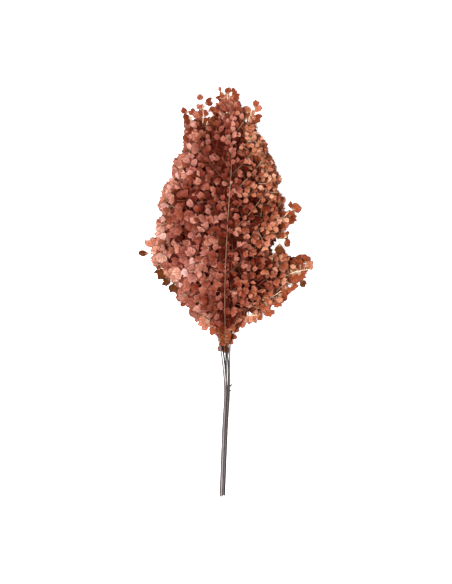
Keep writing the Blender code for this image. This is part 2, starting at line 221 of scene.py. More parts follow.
def smoothPath(points, perSpan):
    ends = [points[0] * 2 - points[1], *points, points[-1] * 2 - points[-2]]
    path = []
    for a, b, c, d in zip(ends, ends[1:], ends[2:], ends[3:]):
        for step in range(perSpan):
            t = step / perSpan
            bend = (2 * a - 5 * b + 4 * c - d) * t**2 + (3 * b - a - 3 * c + d) * t**3
            path.append(0.5 * (2 * b + (c - a) * t + bend))
    path.append(points[-1].copy())
    return path


def pathLength(path):
    return sum((b - a).length for a, b in zip(path, path[1:]))


def atLength(path, length):
    # The point that far along a path, and the direction there
    for a, b in zip(path, path[1:]):
        span = (b - a).length
        if length <= span or b is path[-1]:
            return a.lerp(b, length / span), (b - a).normalized()
        length -= span


def between(values, share):
    place = min(max(share, 0), 1) * (len(values) - 1)
    index = min(int(place), len(values) - 2)
    return values[index] + (values[index + 1] - values[index]) * (place - index)


def turned(direction, angle):
    cos, sin = math.cos(angle), math.sin(angle)
    x, y = direction.x, direction.y
    return Vector((x * cos - y * sin, x * sin + y * cos, 0)).normalized()


def spineOf(spec):
    stalk = [Vector(point) * mm for point in spec["stalk"]]
    rachis = []
    for x, y in spec["rachis"]:
        height = layerHeight(spec["layer"], x * mm, y * mm) + spec.get("crest", 0) * mm
        rachis.append(Vector((x * mm, y * mm, height)))
    steps = bunch["spineSteps"]
    whole = smoothPath(stalk + rachis, steps)
    return whole, whole[steps * (len(stalk) - 1):]


def ribHeight(spec, place, lift, done):
    low, high = layerLimits(spec["layer"], place.x, place.y)
    height = layerHeight(spec["layer"], place.x, place.y) + lift
    if spec["layer"] == "low":
        height += (low - height) * done**2
    return min(max(height, low + pinna["ribSlack"]), high - pinna["ribSlack"])


def pinnaPath(spec, root, direction, hand, reach, chance):
    angle = pinna["angle"] * chance.uniform(*pinna["angleSpread"])
    lift = chance.uniform(-1, 1) * pinna["lift"]
    steps = max(2, round(reach / pinna["step"]))
    path = [root]
    for step in range(steps):
        done = (step + 0.5) / steps
        place = path[-1] + turned(direction, hand * (angle - pinna["turn"] * done)) * reach / steps
        nearMiddle = spec["side"] and spec["side"] * place.x < bunch["middleGap"]
        if nearMiddle or not within(rowAt(bunch["reach"], place.y), place.x, pinna["margin"]):
            break
        place.z = ribHeight(spec, place, lift, (step + 1) / steps)
        path.append(place)
    return path


def shootPath(spec, spine, points):
    start = Vector(points[0]) * mm
    path = [min(spine, key=lambda point: (point.xy - start).length)]
    for index, point in enumerate(points[1:], 1):
        place = Vector((*point, 0)) * mm
        place.z = ribHeight(spec, place, 0, index / (len(points) - 1))
        path.append(place)
    return path


def pinnaeOf(name, spec, spine, rachis):
    # Every pinna of a frond: its path, which way it points, and the random draws that its shoots go on with
    whole = pathLength(rachis)
    count = round(whole * (pinna["last"] - pinna["first"]) / (spec["spacing"] * mm))
    for index in range(count + 2):
        chance = Random(f"{name} pinna {index}")
        hand = 1 if index % 2 else -1
        if index <= count:
            share = pinna["first"] + (pinna["last"] - pinna["first"]) * index / count
            root, direction = atLength(rachis, share * whole)
            reach = between(spec["left"] if hand > 0 else spec["right"], index / count) * mm
            reach *= chance.uniform(*pinna["reachSpread"])
            path = pinnaPath(spec, root, direction, hand, reach, chance)
        else:
            root, direction = atLength(rachis, pinna["lastShoot"] * whole)
            path = [root, rachis[-1] + direction * pinna["tipShoot"]]
        if len(path) > 1:
            yield smoothPath(path, 2), hand, chance
    for index, points in enumerate(spec["shoots"]):
        path = shootPath(spec, spine, points)
        yield smoothPath(path, 2), 1 if index % 2 else -1, Random(f"{name} shoot {index}")


# A leaflet is a thin closed fan, lobed at its rim and folded along its rays
leaflet = {
    "length": 10.2 * mm,
    "shapes": 12,
    "broad": 6,  # the first of them are broad, the others narrow
    "rays": 8,
    "rings": (0.1, 0.6, 1.0),
    "opening": math.radians(58),
    "broadWidth": (0.9, 1.08),
    "narrowWidth": (0.46, 0.66),
    "clefts": ((0.04, 0.2), (0.02, 0.16)),
    "sideFall": (0.18, 0.5),
    "roundness": 2.2,
    "uneven": 0.12,
    "crease": (-0.45, 0.4),
    "lean": 0.2,
    "thickness": 0.024,
    "stalkLength": 0.14,
    "stalkRadius": 0.018,
    "stalkOverlap": 0.12,
    "cup": 0.16,
    "cupSpread": (-0.2, 1.7),
    "curl": 0.12,
    "curlSpread": (-0.3, 1.8),
    "curlFrom": 0.3,
    "fold": 0.009,
    "widest": 0.68,  # shares of its length: where it is widest, its half width there, its middle and its tip
    "halfWidth": 0.42,
    "middle": 0.6,
    "tip": 0.98,
    "smallest": 0.92,
    "largest": 1.08,
    "ground": 0.3 * mm,
    "ceiling": 46.6 * mm,
    "seed": 7,
}


def leafletMesh(number):
    chance = Random(f"leaflet {number}")
    rays, rings = leaflet["rays"], leaflet["rings"]
    width = "broadWidth" if number < leaflet["broad"] else "narrowWidth"
    opening = leaflet["opening"] * chance.uniform(*leaflet[width])
    first, second = leaflet["clefts"]
    clefts = {2 + number % 3: chance.uniform(*first), 5 + number % 2: chance.uniform(*second)}
    sideFall = chance.uniform(*leaflet["sideFall"])
    cup = leaflet["cup"] * chance.uniform(*leaflet["cupSpread"])
    curl = leaflet["curl"] * chance.uniform(*leaflet["curlSpread"])
    lean = chance.uniform(-leaflet["lean"], leaflet["lean"])
    crease = chance.uniform(*leaflet["crease"])
    uneven = [1 + chance.uniform(-1, 1) * leaflet["uneven"] for _ in range(rays + 1)]
    verts, uvs = [], []
    for face in (1, -1):
        for ring, share in enumerate(rings):
            rim = ring == len(rings) - 1
            for ray in range(rays + 1):
                turn = 2 * ray / rays - 1
                edge = 1 - sideFall * abs(turn) ** leaflet["roundness"]
                edge *= uneven[ray] - clefts.get(ray, 0) * rim
                radius = share * edge * (1 - leaflet["stalkLength"])
                x, y = radius * math.sin(turn * opening), radius * math.cos(turn * opening)
                z = lean * x + crease * abs(x) - cup * x * x - curl * max(0, y - leaflet["curlFrom"]) ** 2
                z += leaflet["fold"] * share * (1 if (ray + number) % 2 else -1)
                z += face * leaflet["thickness"] / 2 * (0.5 if rim else 1)
                verts.append((x, y + leaflet["stalkLength"], z))
                uvs.append((ray / rays, share))
    wide = rays + 1
    under = wide * len(rings)
    faces = []
    for ring in range(len(rings) - 1):
        for ray in range(rays):
            a = ring * wide + ray
            faces.append((a, a + 1, a + wide + 1, a + wide))
            faces.append((under + a + wide, under + a + wide + 1, under + a + 1, under + a))
    border = list(range(wide))
    border += [ring * wide + rays for ring in range(1, len(rings))]
    border += [(len(rings) - 1) * wide + ray for ray in range(rays - 1, -1, -1)]
    border += [ring * wide for ring in range(len(rings) - 2, 0, -1)]
    for a, b in zip(border, border[1:] + border[:1]):
        faces.append((b, a, under + a, under + b))
    first = len(verts)  # the leaflet's own stalk, three-sided
    for y in (0, leaflet["stalkLength"] + leaflet["stalkOverlap"]):
        for side in range(3):
            turn, radius = 2 * math.pi * side / 3, leaflet["stalkRadius"]
            verts.append((radius * math.cos(turn), y, radius * math.sin(turn)))
            uvs.append((0.5, 0))
    for side in range(3):
        a, b = first + side, first + (side + 1) % 3
        faces.append((a, a + 3, b + 3, b))
    faces.append((first, first + 1, first + 2))
    faces.append((first + 5, first + 4, first + 3))
    mesh = bpy.data.meshes.new(f"leafletShape{number:02d}")
    mesh.from_pydata(verts, [], faces)
    layer = mesh.uv_layers.new(name="UVMap")
    for loop in mesh.loops:
        layer.data[loop.index].uv = uvs[loop.vertex_index]
    stalk = mesh.attributes.new("ownStalk", "FLOAT", "POINT")
    stalk.data.foreach_set("value", [float(index >= first) for index in range(len(verts))])
    return mesh


def leafletShapes():
    shapes = bpy.data.collections.new("leafletShapes")
    for number in range(leaflet["shapes"]):
        mesh = leafletMesh(number)
        shapes.objects.link(bpy.data.objects.new(mesh.name, mesh))
    return shapes


def cornersOf(shapes):
    # The points of each shape, to tell how high and how low a leaflet reaches
    return [np.array([vert.co for vert in shape.data.vertices]) for shape in shapes.objects]


def rimOf(corners):
    # The outline of a shape: the root's end and the rim
    first = (leaflet["rays"] + 1) * (len(leaflet["rings"]) - 1)
    return np.vstack((corners[leaflet["rays"] // 2], corners[first : first + leaflet["rays"] + 1]))


# How far the leaflets' rims reach to the left and to the right, finer than the solids: (y, x) in millimetres
rimLine = {
    "left": (
        (-64, -8), (-47, -11), (-41, -16), (-38, -30), (-34, -35), (-28, -40), (-21, -42), (-15, -49),
        (-8, -54.5), (-1, -57), (5, -65), (12, -72), (25, -79), (38, -82), (41, -87), (44, -96.5),
        (48, -95.5), (53, -88.5), (58, -88), (60.5, -77), (66, -75), (71, -77.5), (78, -77.5), (86, -72),
        (93, -76), (107, -73.5), (118, -69), (128, -61), (146, -60), (153, -50), (160, -48), (168, -50.5),
        (180, -46.5), (191, -50), (204, -50), (206.5, -34), (217, -33), (220, -31), (221, -11), (227, -9),
    ),
    "right": (
        (-64, 4), (-48, 7), (-38, 10), (-36, 24), (-34, 33), (-25, 45), (-18, 57), (-12, 60.5), (-6, 65.5),
        (2, 75), (9, 88), (14, 87.5), (23, 94), (37, 94), (43, 88), (44.5, 62), (52, 62), (53, 69),
        (62, 70.5), (67, 66.5), (76, 71.5), (89, 79.5), (95, 81.5), (100, 77), (103, 65), (113, 58),
        (118, 57.5), (121, 62), (128, 61.5), (133, 57.5), (148, 53), (153, 48), (167, 43.5), (175, 35),
        (187, 33), (190, 38), (211, 37), (212.5, 15), (222, 12), (227, 4),
    ),
}

# Places where the ground shows or only the loose sprays reach: (x, y, radius) in millimetres
gaps = (
    (-38, 204, 15), (-21, 214, 10), (-20, 193, 9), (2, 219, 9), (30, 204, 11), (24, 191, 6), (72, 92, 10),
    (59, 54, 8), (87, 26, 11), (74, 8, 6), (-90, 46, 11), (-74, 21, 6), (-66, 11, 6), (-58, 6, 5),
    (-48, -19, 6), (-33, -33, 6), (54, -18, 6), (34, -33, 5), (26, -27, 7), (-24, -33, 6),
    (-11.5, 219, 5.5), (-11.5, 208, 2.5), (20, 214, 7), (19, 203, 2.5), (54.5, 50, 5.5), (73, 47, 7),
    (66, 45.5, 3), (-66, 59, 4), (42, -22.5, 3),
)


def rimAt(y):
    # How far the leaflets reach to the left and to the right, or nothing past the neck and the tip
    left, right = rowAt(rimLine["left"], y), rowAt(rimLine["right"], y)
    return left and (left[0], right[0])


def beyondRim(point, margin):
    return not within(rimAt(point.y), point.x, margin)


def inGap(point, margin=0):
    for x, y, radius in gaps:
        if math.hypot(point.x - x * mm, point.y - y * mm) < (radius + margin) * mm:
            return True
    return False


# How the leaflets differ from the left of the bunch over its middle to its right
across = {
    "reach": 34 * mm,
    "sizes": (1.32, 1.04, 0.88),
    "sparse": (0.4, 0.28, 0.22),  # share of the leaflets left out, so that the dark ones beneath show
    "flick": (0.02, 0.02, 0.12),  # share of the shoots whose pale stalk lies on the leaflets
    "steepShare": (0.25, 0.42, 0.5),
    "narrow": (0.12, 0.5, 0.65),
    "tones": (0.60, 0.49, 0.47),
    "toneSpread": (0.25, 0.27, 0.26),
    # painted glow: how much brighter the leaflets at the rim are painted, as light shining through them
    "outerPaintedGlow": (0.34, 0.18, 0.33),
    "outerReach": (23 * mm, 25 * mm, 38 * mm),
    "topTones": (-0.2, -0.08, -0.04),
    "rosy": (0.85, 0.9, 0.15),
    "orange": (0.25, 0.4, 0.55),
}

# How they differ from the neck of the bunch to its tip, and from one to the next
leafTone = {
    "darkest": 0.03,
    "lightest": 0.87,
    "tipFade": (50 * mm, 120 * mm),  # between these heights the leaflets grow smaller and narrower
    "tipSmaller": 0.16,
    "tipNarrower": 0.7,
    "tipRim": 3 * mm,
    "topFade": (30 * mm, 80 * mm),
    "lowRim": 0.42,  # how much darker the rim at the lower left is
    "lowRimFade": (14 * mm, -4 * mm),
    "neckShade": 0.13,
    "neckFade": (-12 * mm, -34 * mm),
    "cluster": 0.045,
    "waves": (8 * mm, 13 * mm, 9 * mm, 15 * mm),
    "bends": (1.3, 1.7),
    "rosySpread": (-0.5, 0.3),
    "orangeFrom": 1.2,
    "oliveShare": 0.16,
    "oliveRim": 0.7,
    "oliveTop": 30 * mm,
    "brownShare": 0.22,
    "brown": (0.1, 0.45),
    "ragged": (-2 * mm, 5 * mm),  # how far inside the rim a leaflet ends
    "shrink": 0.9,
    "least": 0.7,
}

# A side shoot carries a few leaflets by turns and one at its end
shoot = {
    "length": 0.74,  # share of the solid's leaflet that the shoot's line runs along
    "stations": ((0.25, 1), (0.5, -1), (0.75, 1), (1.0, 0)),
    "lastStation": 0.999,  # just inside the line's end
    "spread": math.radians(62),
    "turns": (0.7, 1.3),
    "sizes": (0.76, 1.22),
    "steps": 3,
    "bend": 0.06,
    "arch": 1.2 * mm,
    "archEnd": 0.8,
    "jitter": 1.3 * mm,
    "calm": (-0.7, math.radians(16)),  # how far down, as a share, and how far up most leaflets tilt
    "steep": (-0.35, math.radians(58)),
    "overlap": 1.4 * mm,  # a leaflet that points to the stalks lies on those that point to the tip
    # a larger leaflet under each shoot, painted darker by its shade as shade
    "shaded": {"at": 0.45, "size": 1.15, "shade": 0.25, "turn": 0.9, "margin": 2 * mm},
    "under": (0.5, 4.5 * mm),  # how far under its shoot the shaded leaflet hangs: least share and most
    "ground": 2 * mm,
    "upward": 0.7,
    "upwardFade": (80 * mm, 180 * mm),
    "flickLift": 1 * mm,
}

# The middle of the bunch, where the rachis lies open between the leaflets
furrow = {
    "low": -48 * mm,
    "high": 138 * mm,
    "half": (1.8 * mm, 0),  # at its low end and at its high end
    "reach": 13 * mm,
    # painted shade that darkens the leaflets near the rachis in the middle
    "shade": 0.42,
    "fade": (125 * mm, 45 * mm),  # as dark as the rest above the first, darkest under the second
    "leafShare": 0.36,
}


def acrossAt(key, x):
    return between(across[key], 0.5 + 0.5 * x / across["reach"])


def rachisX(path, y):
    for a, b in zip(path, path[1:]):
        if min(a.y, b.y) <= y <= max(a.y, b.y):
            return a.x + (b.x - a.x) * (y - a.y) / (b.y - a.y)
    return path[0].x if y < path[0].y else path[-1].x


def centreOf(point, heading, size):
    return point + heading * leaflet["middle"] * leaflet["length"] * size


def fits(point, heading, size, margin):
    # Whether a leaflet stays inside the rim and leaves the gaps open
    length = leaflet["length"] * size
    flat = Vector((point.x, point.y, 0))
    middle = flat + heading * leaflet["widest"] * length
    side = turned(heading, -math.pi / 2) * leaflet["halfWidth"] * length
    corners = (flat + heading * leaflet["tip"] * length, middle + side, middle - side)
    return not any(beyondRim(corner, margin) or inGap(corner) for corner in corners)


def fittedSize(point, heading, size, chance):
    # Makes a leaflet smaller until it fits, or gives 0 where it would be too small
    margin = chance.uniform(*leafTone["ragged"])
    while size > leafTone["least"]:
        if fits(point, heading, size, margin):
            return size
        size *= leafTone["shrink"]
    return 0


def addLeaflet(leaflets, point, heading, normal, pitch, roll, size, chance, looks, narrow=0):
    flat = (heading - normal * heading.dot(normal)).normalized()
    along = (flat * math.cos(pitch) + normal * math.sin(pitch)).normalized()
    face = normal * math.cos(pitch) - flat * math.sin(pitch)
    side = along.cross(face).normalized()
    beside = (side * math.cos(roll) - face * math.sin(roll)).normalized()
    turn = Matrix((beside, along, beside.cross(along))).transposed()
    narrow += acrossAt("narrow", point.x)
    narrow += leafTone["tipNarrower"] * smoothStep(*leafTone["tipFade"], point.y)
    shape = chance.randrange(leaflet["broad"]) + (leaflet["broad"] if chance.random() < narrow else 0)
    reach = shapeCorners[shape] @ np.array(turn[2]) * leaflet["length"] * size * leaflet["largest"]
    lowest, highest = reach.min(), reach.max()
    z = min(max(point.z, leaflet["ground"] - lowest), leaflet["ceiling"] - highest)
    spot = Vector((point.x, point.y, z))
    leaflets.append({"point": spot, "turn": turn.to_euler(), "size": size, "shape": shape, **looks})


def clusterTone(point):
    # Slow changes of tone from one part of the bunch to the next
    (a, b, c, d), (first, second) = leafTone["waves"], leafTone["bends"]
    waves = math.sin(point.x / a + first * math.sin(point.y / b))
    waves += math.sin(point.y / c + second * math.sin(point.x / d))
    return leafTone["cluster"] * waves


def huesAt(x, outer, tint):
    # Light leaflets are less orange
    orange = acrossAt("orange", x) * outer * (leafTone["orangeFrom"] - tint)
    return {"rosy": acrossAt("rosy", x), "orange": orange}


def looksAt(point, chance, shade=0.0):
    # Rim leaflets are painted brighter, as light glowing through them, and more orange; leaflets near the
    # middle and under others are painted darker, as shade
    left, right = rimAt(point.y) or (-mm, mm)
    edge = min(point.x - left, right - point.x, bunch["tipY"] + leafTone["tipRim"] - point.y)
    outer = min(max(1 - edge / acrossAt("outerReach", point.x), 0), 1)
    tone = acrossAt("tones", point.x) + acrossAt("outerPaintedGlow", point.x) * outer - shade
    tone += acrossAt("topTones", point.x) * smoothStep(*leafTone["topFade"], point.y) * (1 - outer)
    if point.x < 0:
        tone -= leafTone["lowRim"] * outer**2 * smoothStep(*leafTone["lowRimFade"], point.y)
    tone += clusterTone(point) - leafTone["neckShade"] * smoothStep(*leafTone["neckFade"], point.y)
    tone += chance.uniform(-1, 1) * acrossAt("toneSpread", point.x)
    tint = min(max(tone, leafTone["darkest"]), leafTone["lightest"])
    looks = {"tint": tint, "outer": outer, "olive": 0.0, **huesAt(point.x, outer, tint)}
    looks["rosy"] = min(max(looks["rosy"] + chance.uniform(*leafTone["rosySpread"]), 0), 1)
    oliveSide = point.x > 0 or point.y < leafTone["oliveTop"]
    if outer > leafTone["oliveRim"] and chance.random() < leafTone["oliveShare"] and oliveSide:
        looks["olive"] = 1.0
    elif chance.random() < leafTone["brownShare"]:
        looks["olive"] = chance.uniform(*leafTone["brown"])
    return looks


def tiltOf(point, chance):
    steep = chance.random() < acrossAt("steepShare", point.x)
    least, tilt = shoot["steep" if steep else "calm"]
    return chance.uniform(least, 1) * tilt, chance.uniform(-1, 1) * tilt


def inFurrow(centre, size, side):
    # Leaflets of the topmost frond stay off its rachis there
    gap = abs(centre.x - rachisX(furrowPath, centre.y))
    near = furrow["low"] < centre.y < furrow["high"]
    rise = (centre.y - furrow["low"]) / (furrow["high"] - furrow["low"])
    leafHalf = furrow["leafShare"] * leaflet["length"] * size
    return near and side == 0 and gap < between(furrow["half"], rise) + leafHalf


def furrowShade(centre):
    # Painted shade along the furrow, darkest next to the rachis
    gap = abs(centre.x - rachisX(furrowPath, centre.y))
    along = smoothStep(*furrow["fade"], centre.y)
    return furrow["shade"] * max(1 - gap / furrow["reach"], 0) * along


def upward(heading, point):
    # Near the tip of the bunch the leaflets turn towards it
    share = shoot["upward"] * smoothStep(*shoot["upwardFade"], point.y)
    return (heading * (1 - share) + Vector((0, share, 0))).normalized()


def sunkBy(point, depth):
    return Vector((point.x, point.y, max(point.z - depth, stalkForm["lowest"])))


def addStem(stems, path, kind, outer=0, pale=1):
    # Ribs and shoots are lighter towards the rim of the bunch
    start, end, rootLight, endLight, outerLight = stalkForm[kind]
    stems.append((path, start, end, rootLight * pale, endLight * pale + outerLight * outer**2))


def growShoot(spec, root, rib, heading, size, slant, downhill, chance, leaflets, stems):
    length = pinna["shootLength"] * size * shoot["length"]

    def surface(point):
        # The tilted plane that the solid's leaflet lies in
        offset = Vector((point.x - root.x, point.y - root.y, 0))
        climb = rib.z * offset.dot(rib) / max(1 - rib.z**2, 0.1)
        z = root.z + climb - offset.dot(downhill) * math.tan(pinna["shingle"])
        z += offset.length * math.tan(slant)
        low, high = layerLimits(spec["layer"], point.x, point.y)
        return min(max(z, low), high)

    normal = (up + downhill * math.tan(pinna["shingle"])).normalized()
    line = []
    for step in range(shoot["steps"] + 1):
        t = step / shoot["steps"]
        point = root + turned(heading, chance.uniform(-shoot["bend"], shoot["bend"]) * t) * length * t
        point.z = surface(point) + shoot["arch"] * math.sin(math.pi * shoot["archEnd"] * t)
        line.append(point)
    whole = pathLength(line)
    grownTo, outer = 0, 0
    for station, hand in shoot["stations"]:
        point, direction = atLength(line, station * whole * shoot["lastStation"])
        leafHeading = turned(direction, hand * shoot["spread"] * chance.uniform(*shoot["turns"]))
        leafHeading = upward(leafHeading, point)
        leafSize = chance.uniform(*shoot["sizes"]) * acrossAt("sizes", point.x)
        leafSize *= 1 - leafTone["tipSmaller"] * smoothStep(*leafTone["tipFade"], point.y)
        pitch, roll = tiltOf(point, chance)
        lift = -leafHeading.y * shoot["overlap"] + chance.uniform(-1, 1) * shoot["jitter"]
        leafSize = fittedSize(point, leafHeading, leafSize, chance)
        centre = centreOf(point, leafHeading, leafSize)
        looks = looksAt(centre, chance, furrowShade(centre))
        sparse = chance.random() < acrossAt("sparse", point.x) * (1 - looks["outer"])
        if sparse or not leafSize or inFurrow(centre, leafSize, spec["side"]):
            continue
        spot = point + up * lift
        addLeaflet(leaflets, spot, leafHeading, normal, pitch, roll, leafSize, chance, looks)
        grownTo, outer = station, looks["outer"]
    # A larger leaflet underneath, painted darker as the shade it lies in
    shaded, (least, under) = shoot["shaded"], shoot["under"]
    point, direction = atLength(line, shaded["at"] * whole)
    leafHeading = turned(direction, chance.uniform(-shaded["turn"], shaded["turn"]))
    low = up * -min(chance.uniform(least, 1) * under, max(point.z - shoot["ground"], 0))
    looks = looksAt(point, chance, shaded["shade"])
    if fits(point, leafHeading, shaded["size"], shaded["margin"]):
        addLeaflet(leaflets, point + low, leafHeading, normal, 0, 0, shaded["size"], chance, looks)
    if grownTo and chance.random() < acrossAt("flick", root.x):
        addStem(stems, [sunkBy(point, -shoot["flickLift"]) for point in line[:-1]], "flick")
    elif grownTo:
        addStem(stems, [sunkBy(point, 0) for point in line], "shoot", outer)


# Leaflets set straight on a line, by turns: over the rachis near the tip and in its furrow, round the
# stalks at the neck, and over each pinna's rib
crest = {
    "low": 90 * mm,
    "high": 214 * mm,
    "gap": 3.2 * mm,
    "spread": math.radians(30),
    "pitch": math.radians(24),
    "roll": 0.6,
    "lift": 0.4 * mm,
    "sizes": (0.78, 1.1),
}
lining = {
    "low": -58 * mm,
    "high": 120 * mm,
    "gap": 2.1 * mm,
    "spread": math.radians(34),
    "pitch": math.radians(10),
    "roll": 0.9,
    "lift": -1.6 * mm,
    "sizes": (0.5, 0.85),
}
neck = {
    "low": -63 * mm,
    "high": -30 * mm,
    "gap": 3.4 * mm,
    "spread": math.radians(24),
    "pitch": math.radians(14),
    "roll": 0.6,
    "lift": 0,
    "sizes": (0.7, 1),
}
scales = {
    "low": -70 * mm,
    "high": 240 * mm,
    "gap": 6.5 * mm,
    "spread": math.radians(42),
    "pitch": math.radians(20),
    "roll": 0.5,
    "lift": 0.5 * mm,
    "sizes": (0.78, 1.1),
}

# How much the leaflets on such a line differ from one to the next
strewn = {"gaps": (0.8, 1.2), "spreads": (0.2, 1.5), "pitches": (0.1, 1.5), "lifts": (0.6, 1.6)}


def growAlong(spec, path, form, chance, leaflets):
    whole = pathLength(path)
    hand, length = 1, 0
    while length < whole:
        point, direction = atLength(path, length)
        length += form["gap"] * chance.uniform(*strewn["gaps"])
        if not form["low"] < point.y < form["high"]:
            continue
        heading = turned(direction, hand * form["spread"] * chance.uniform(*strewn["spreads"]))
        size = chance.uniform(*form["sizes"]) * acrossAt("sizes", point.x)
        if form is not lining:
            size = fittedSize(point, heading, size, chance)
        centre = centreOf(point, heading, size)
        hand = -hand
        if not size or form is not lining and inFurrow(centre, size, spec["side"]):
            continue
        looks = looksAt(centre, chance, furrowShade(centre))
        pitch = form["pitch"] * chance.uniform(*strewn["pitches"])
        roll = form["roll"] * chance.uniform(-1, 1)
        spot = point + up * (form["lift"] * chance.uniform(*strewn["lifts"]))
        addLeaflet(leaflets, spot, heading, up, pitch, roll, size, chance, looks)


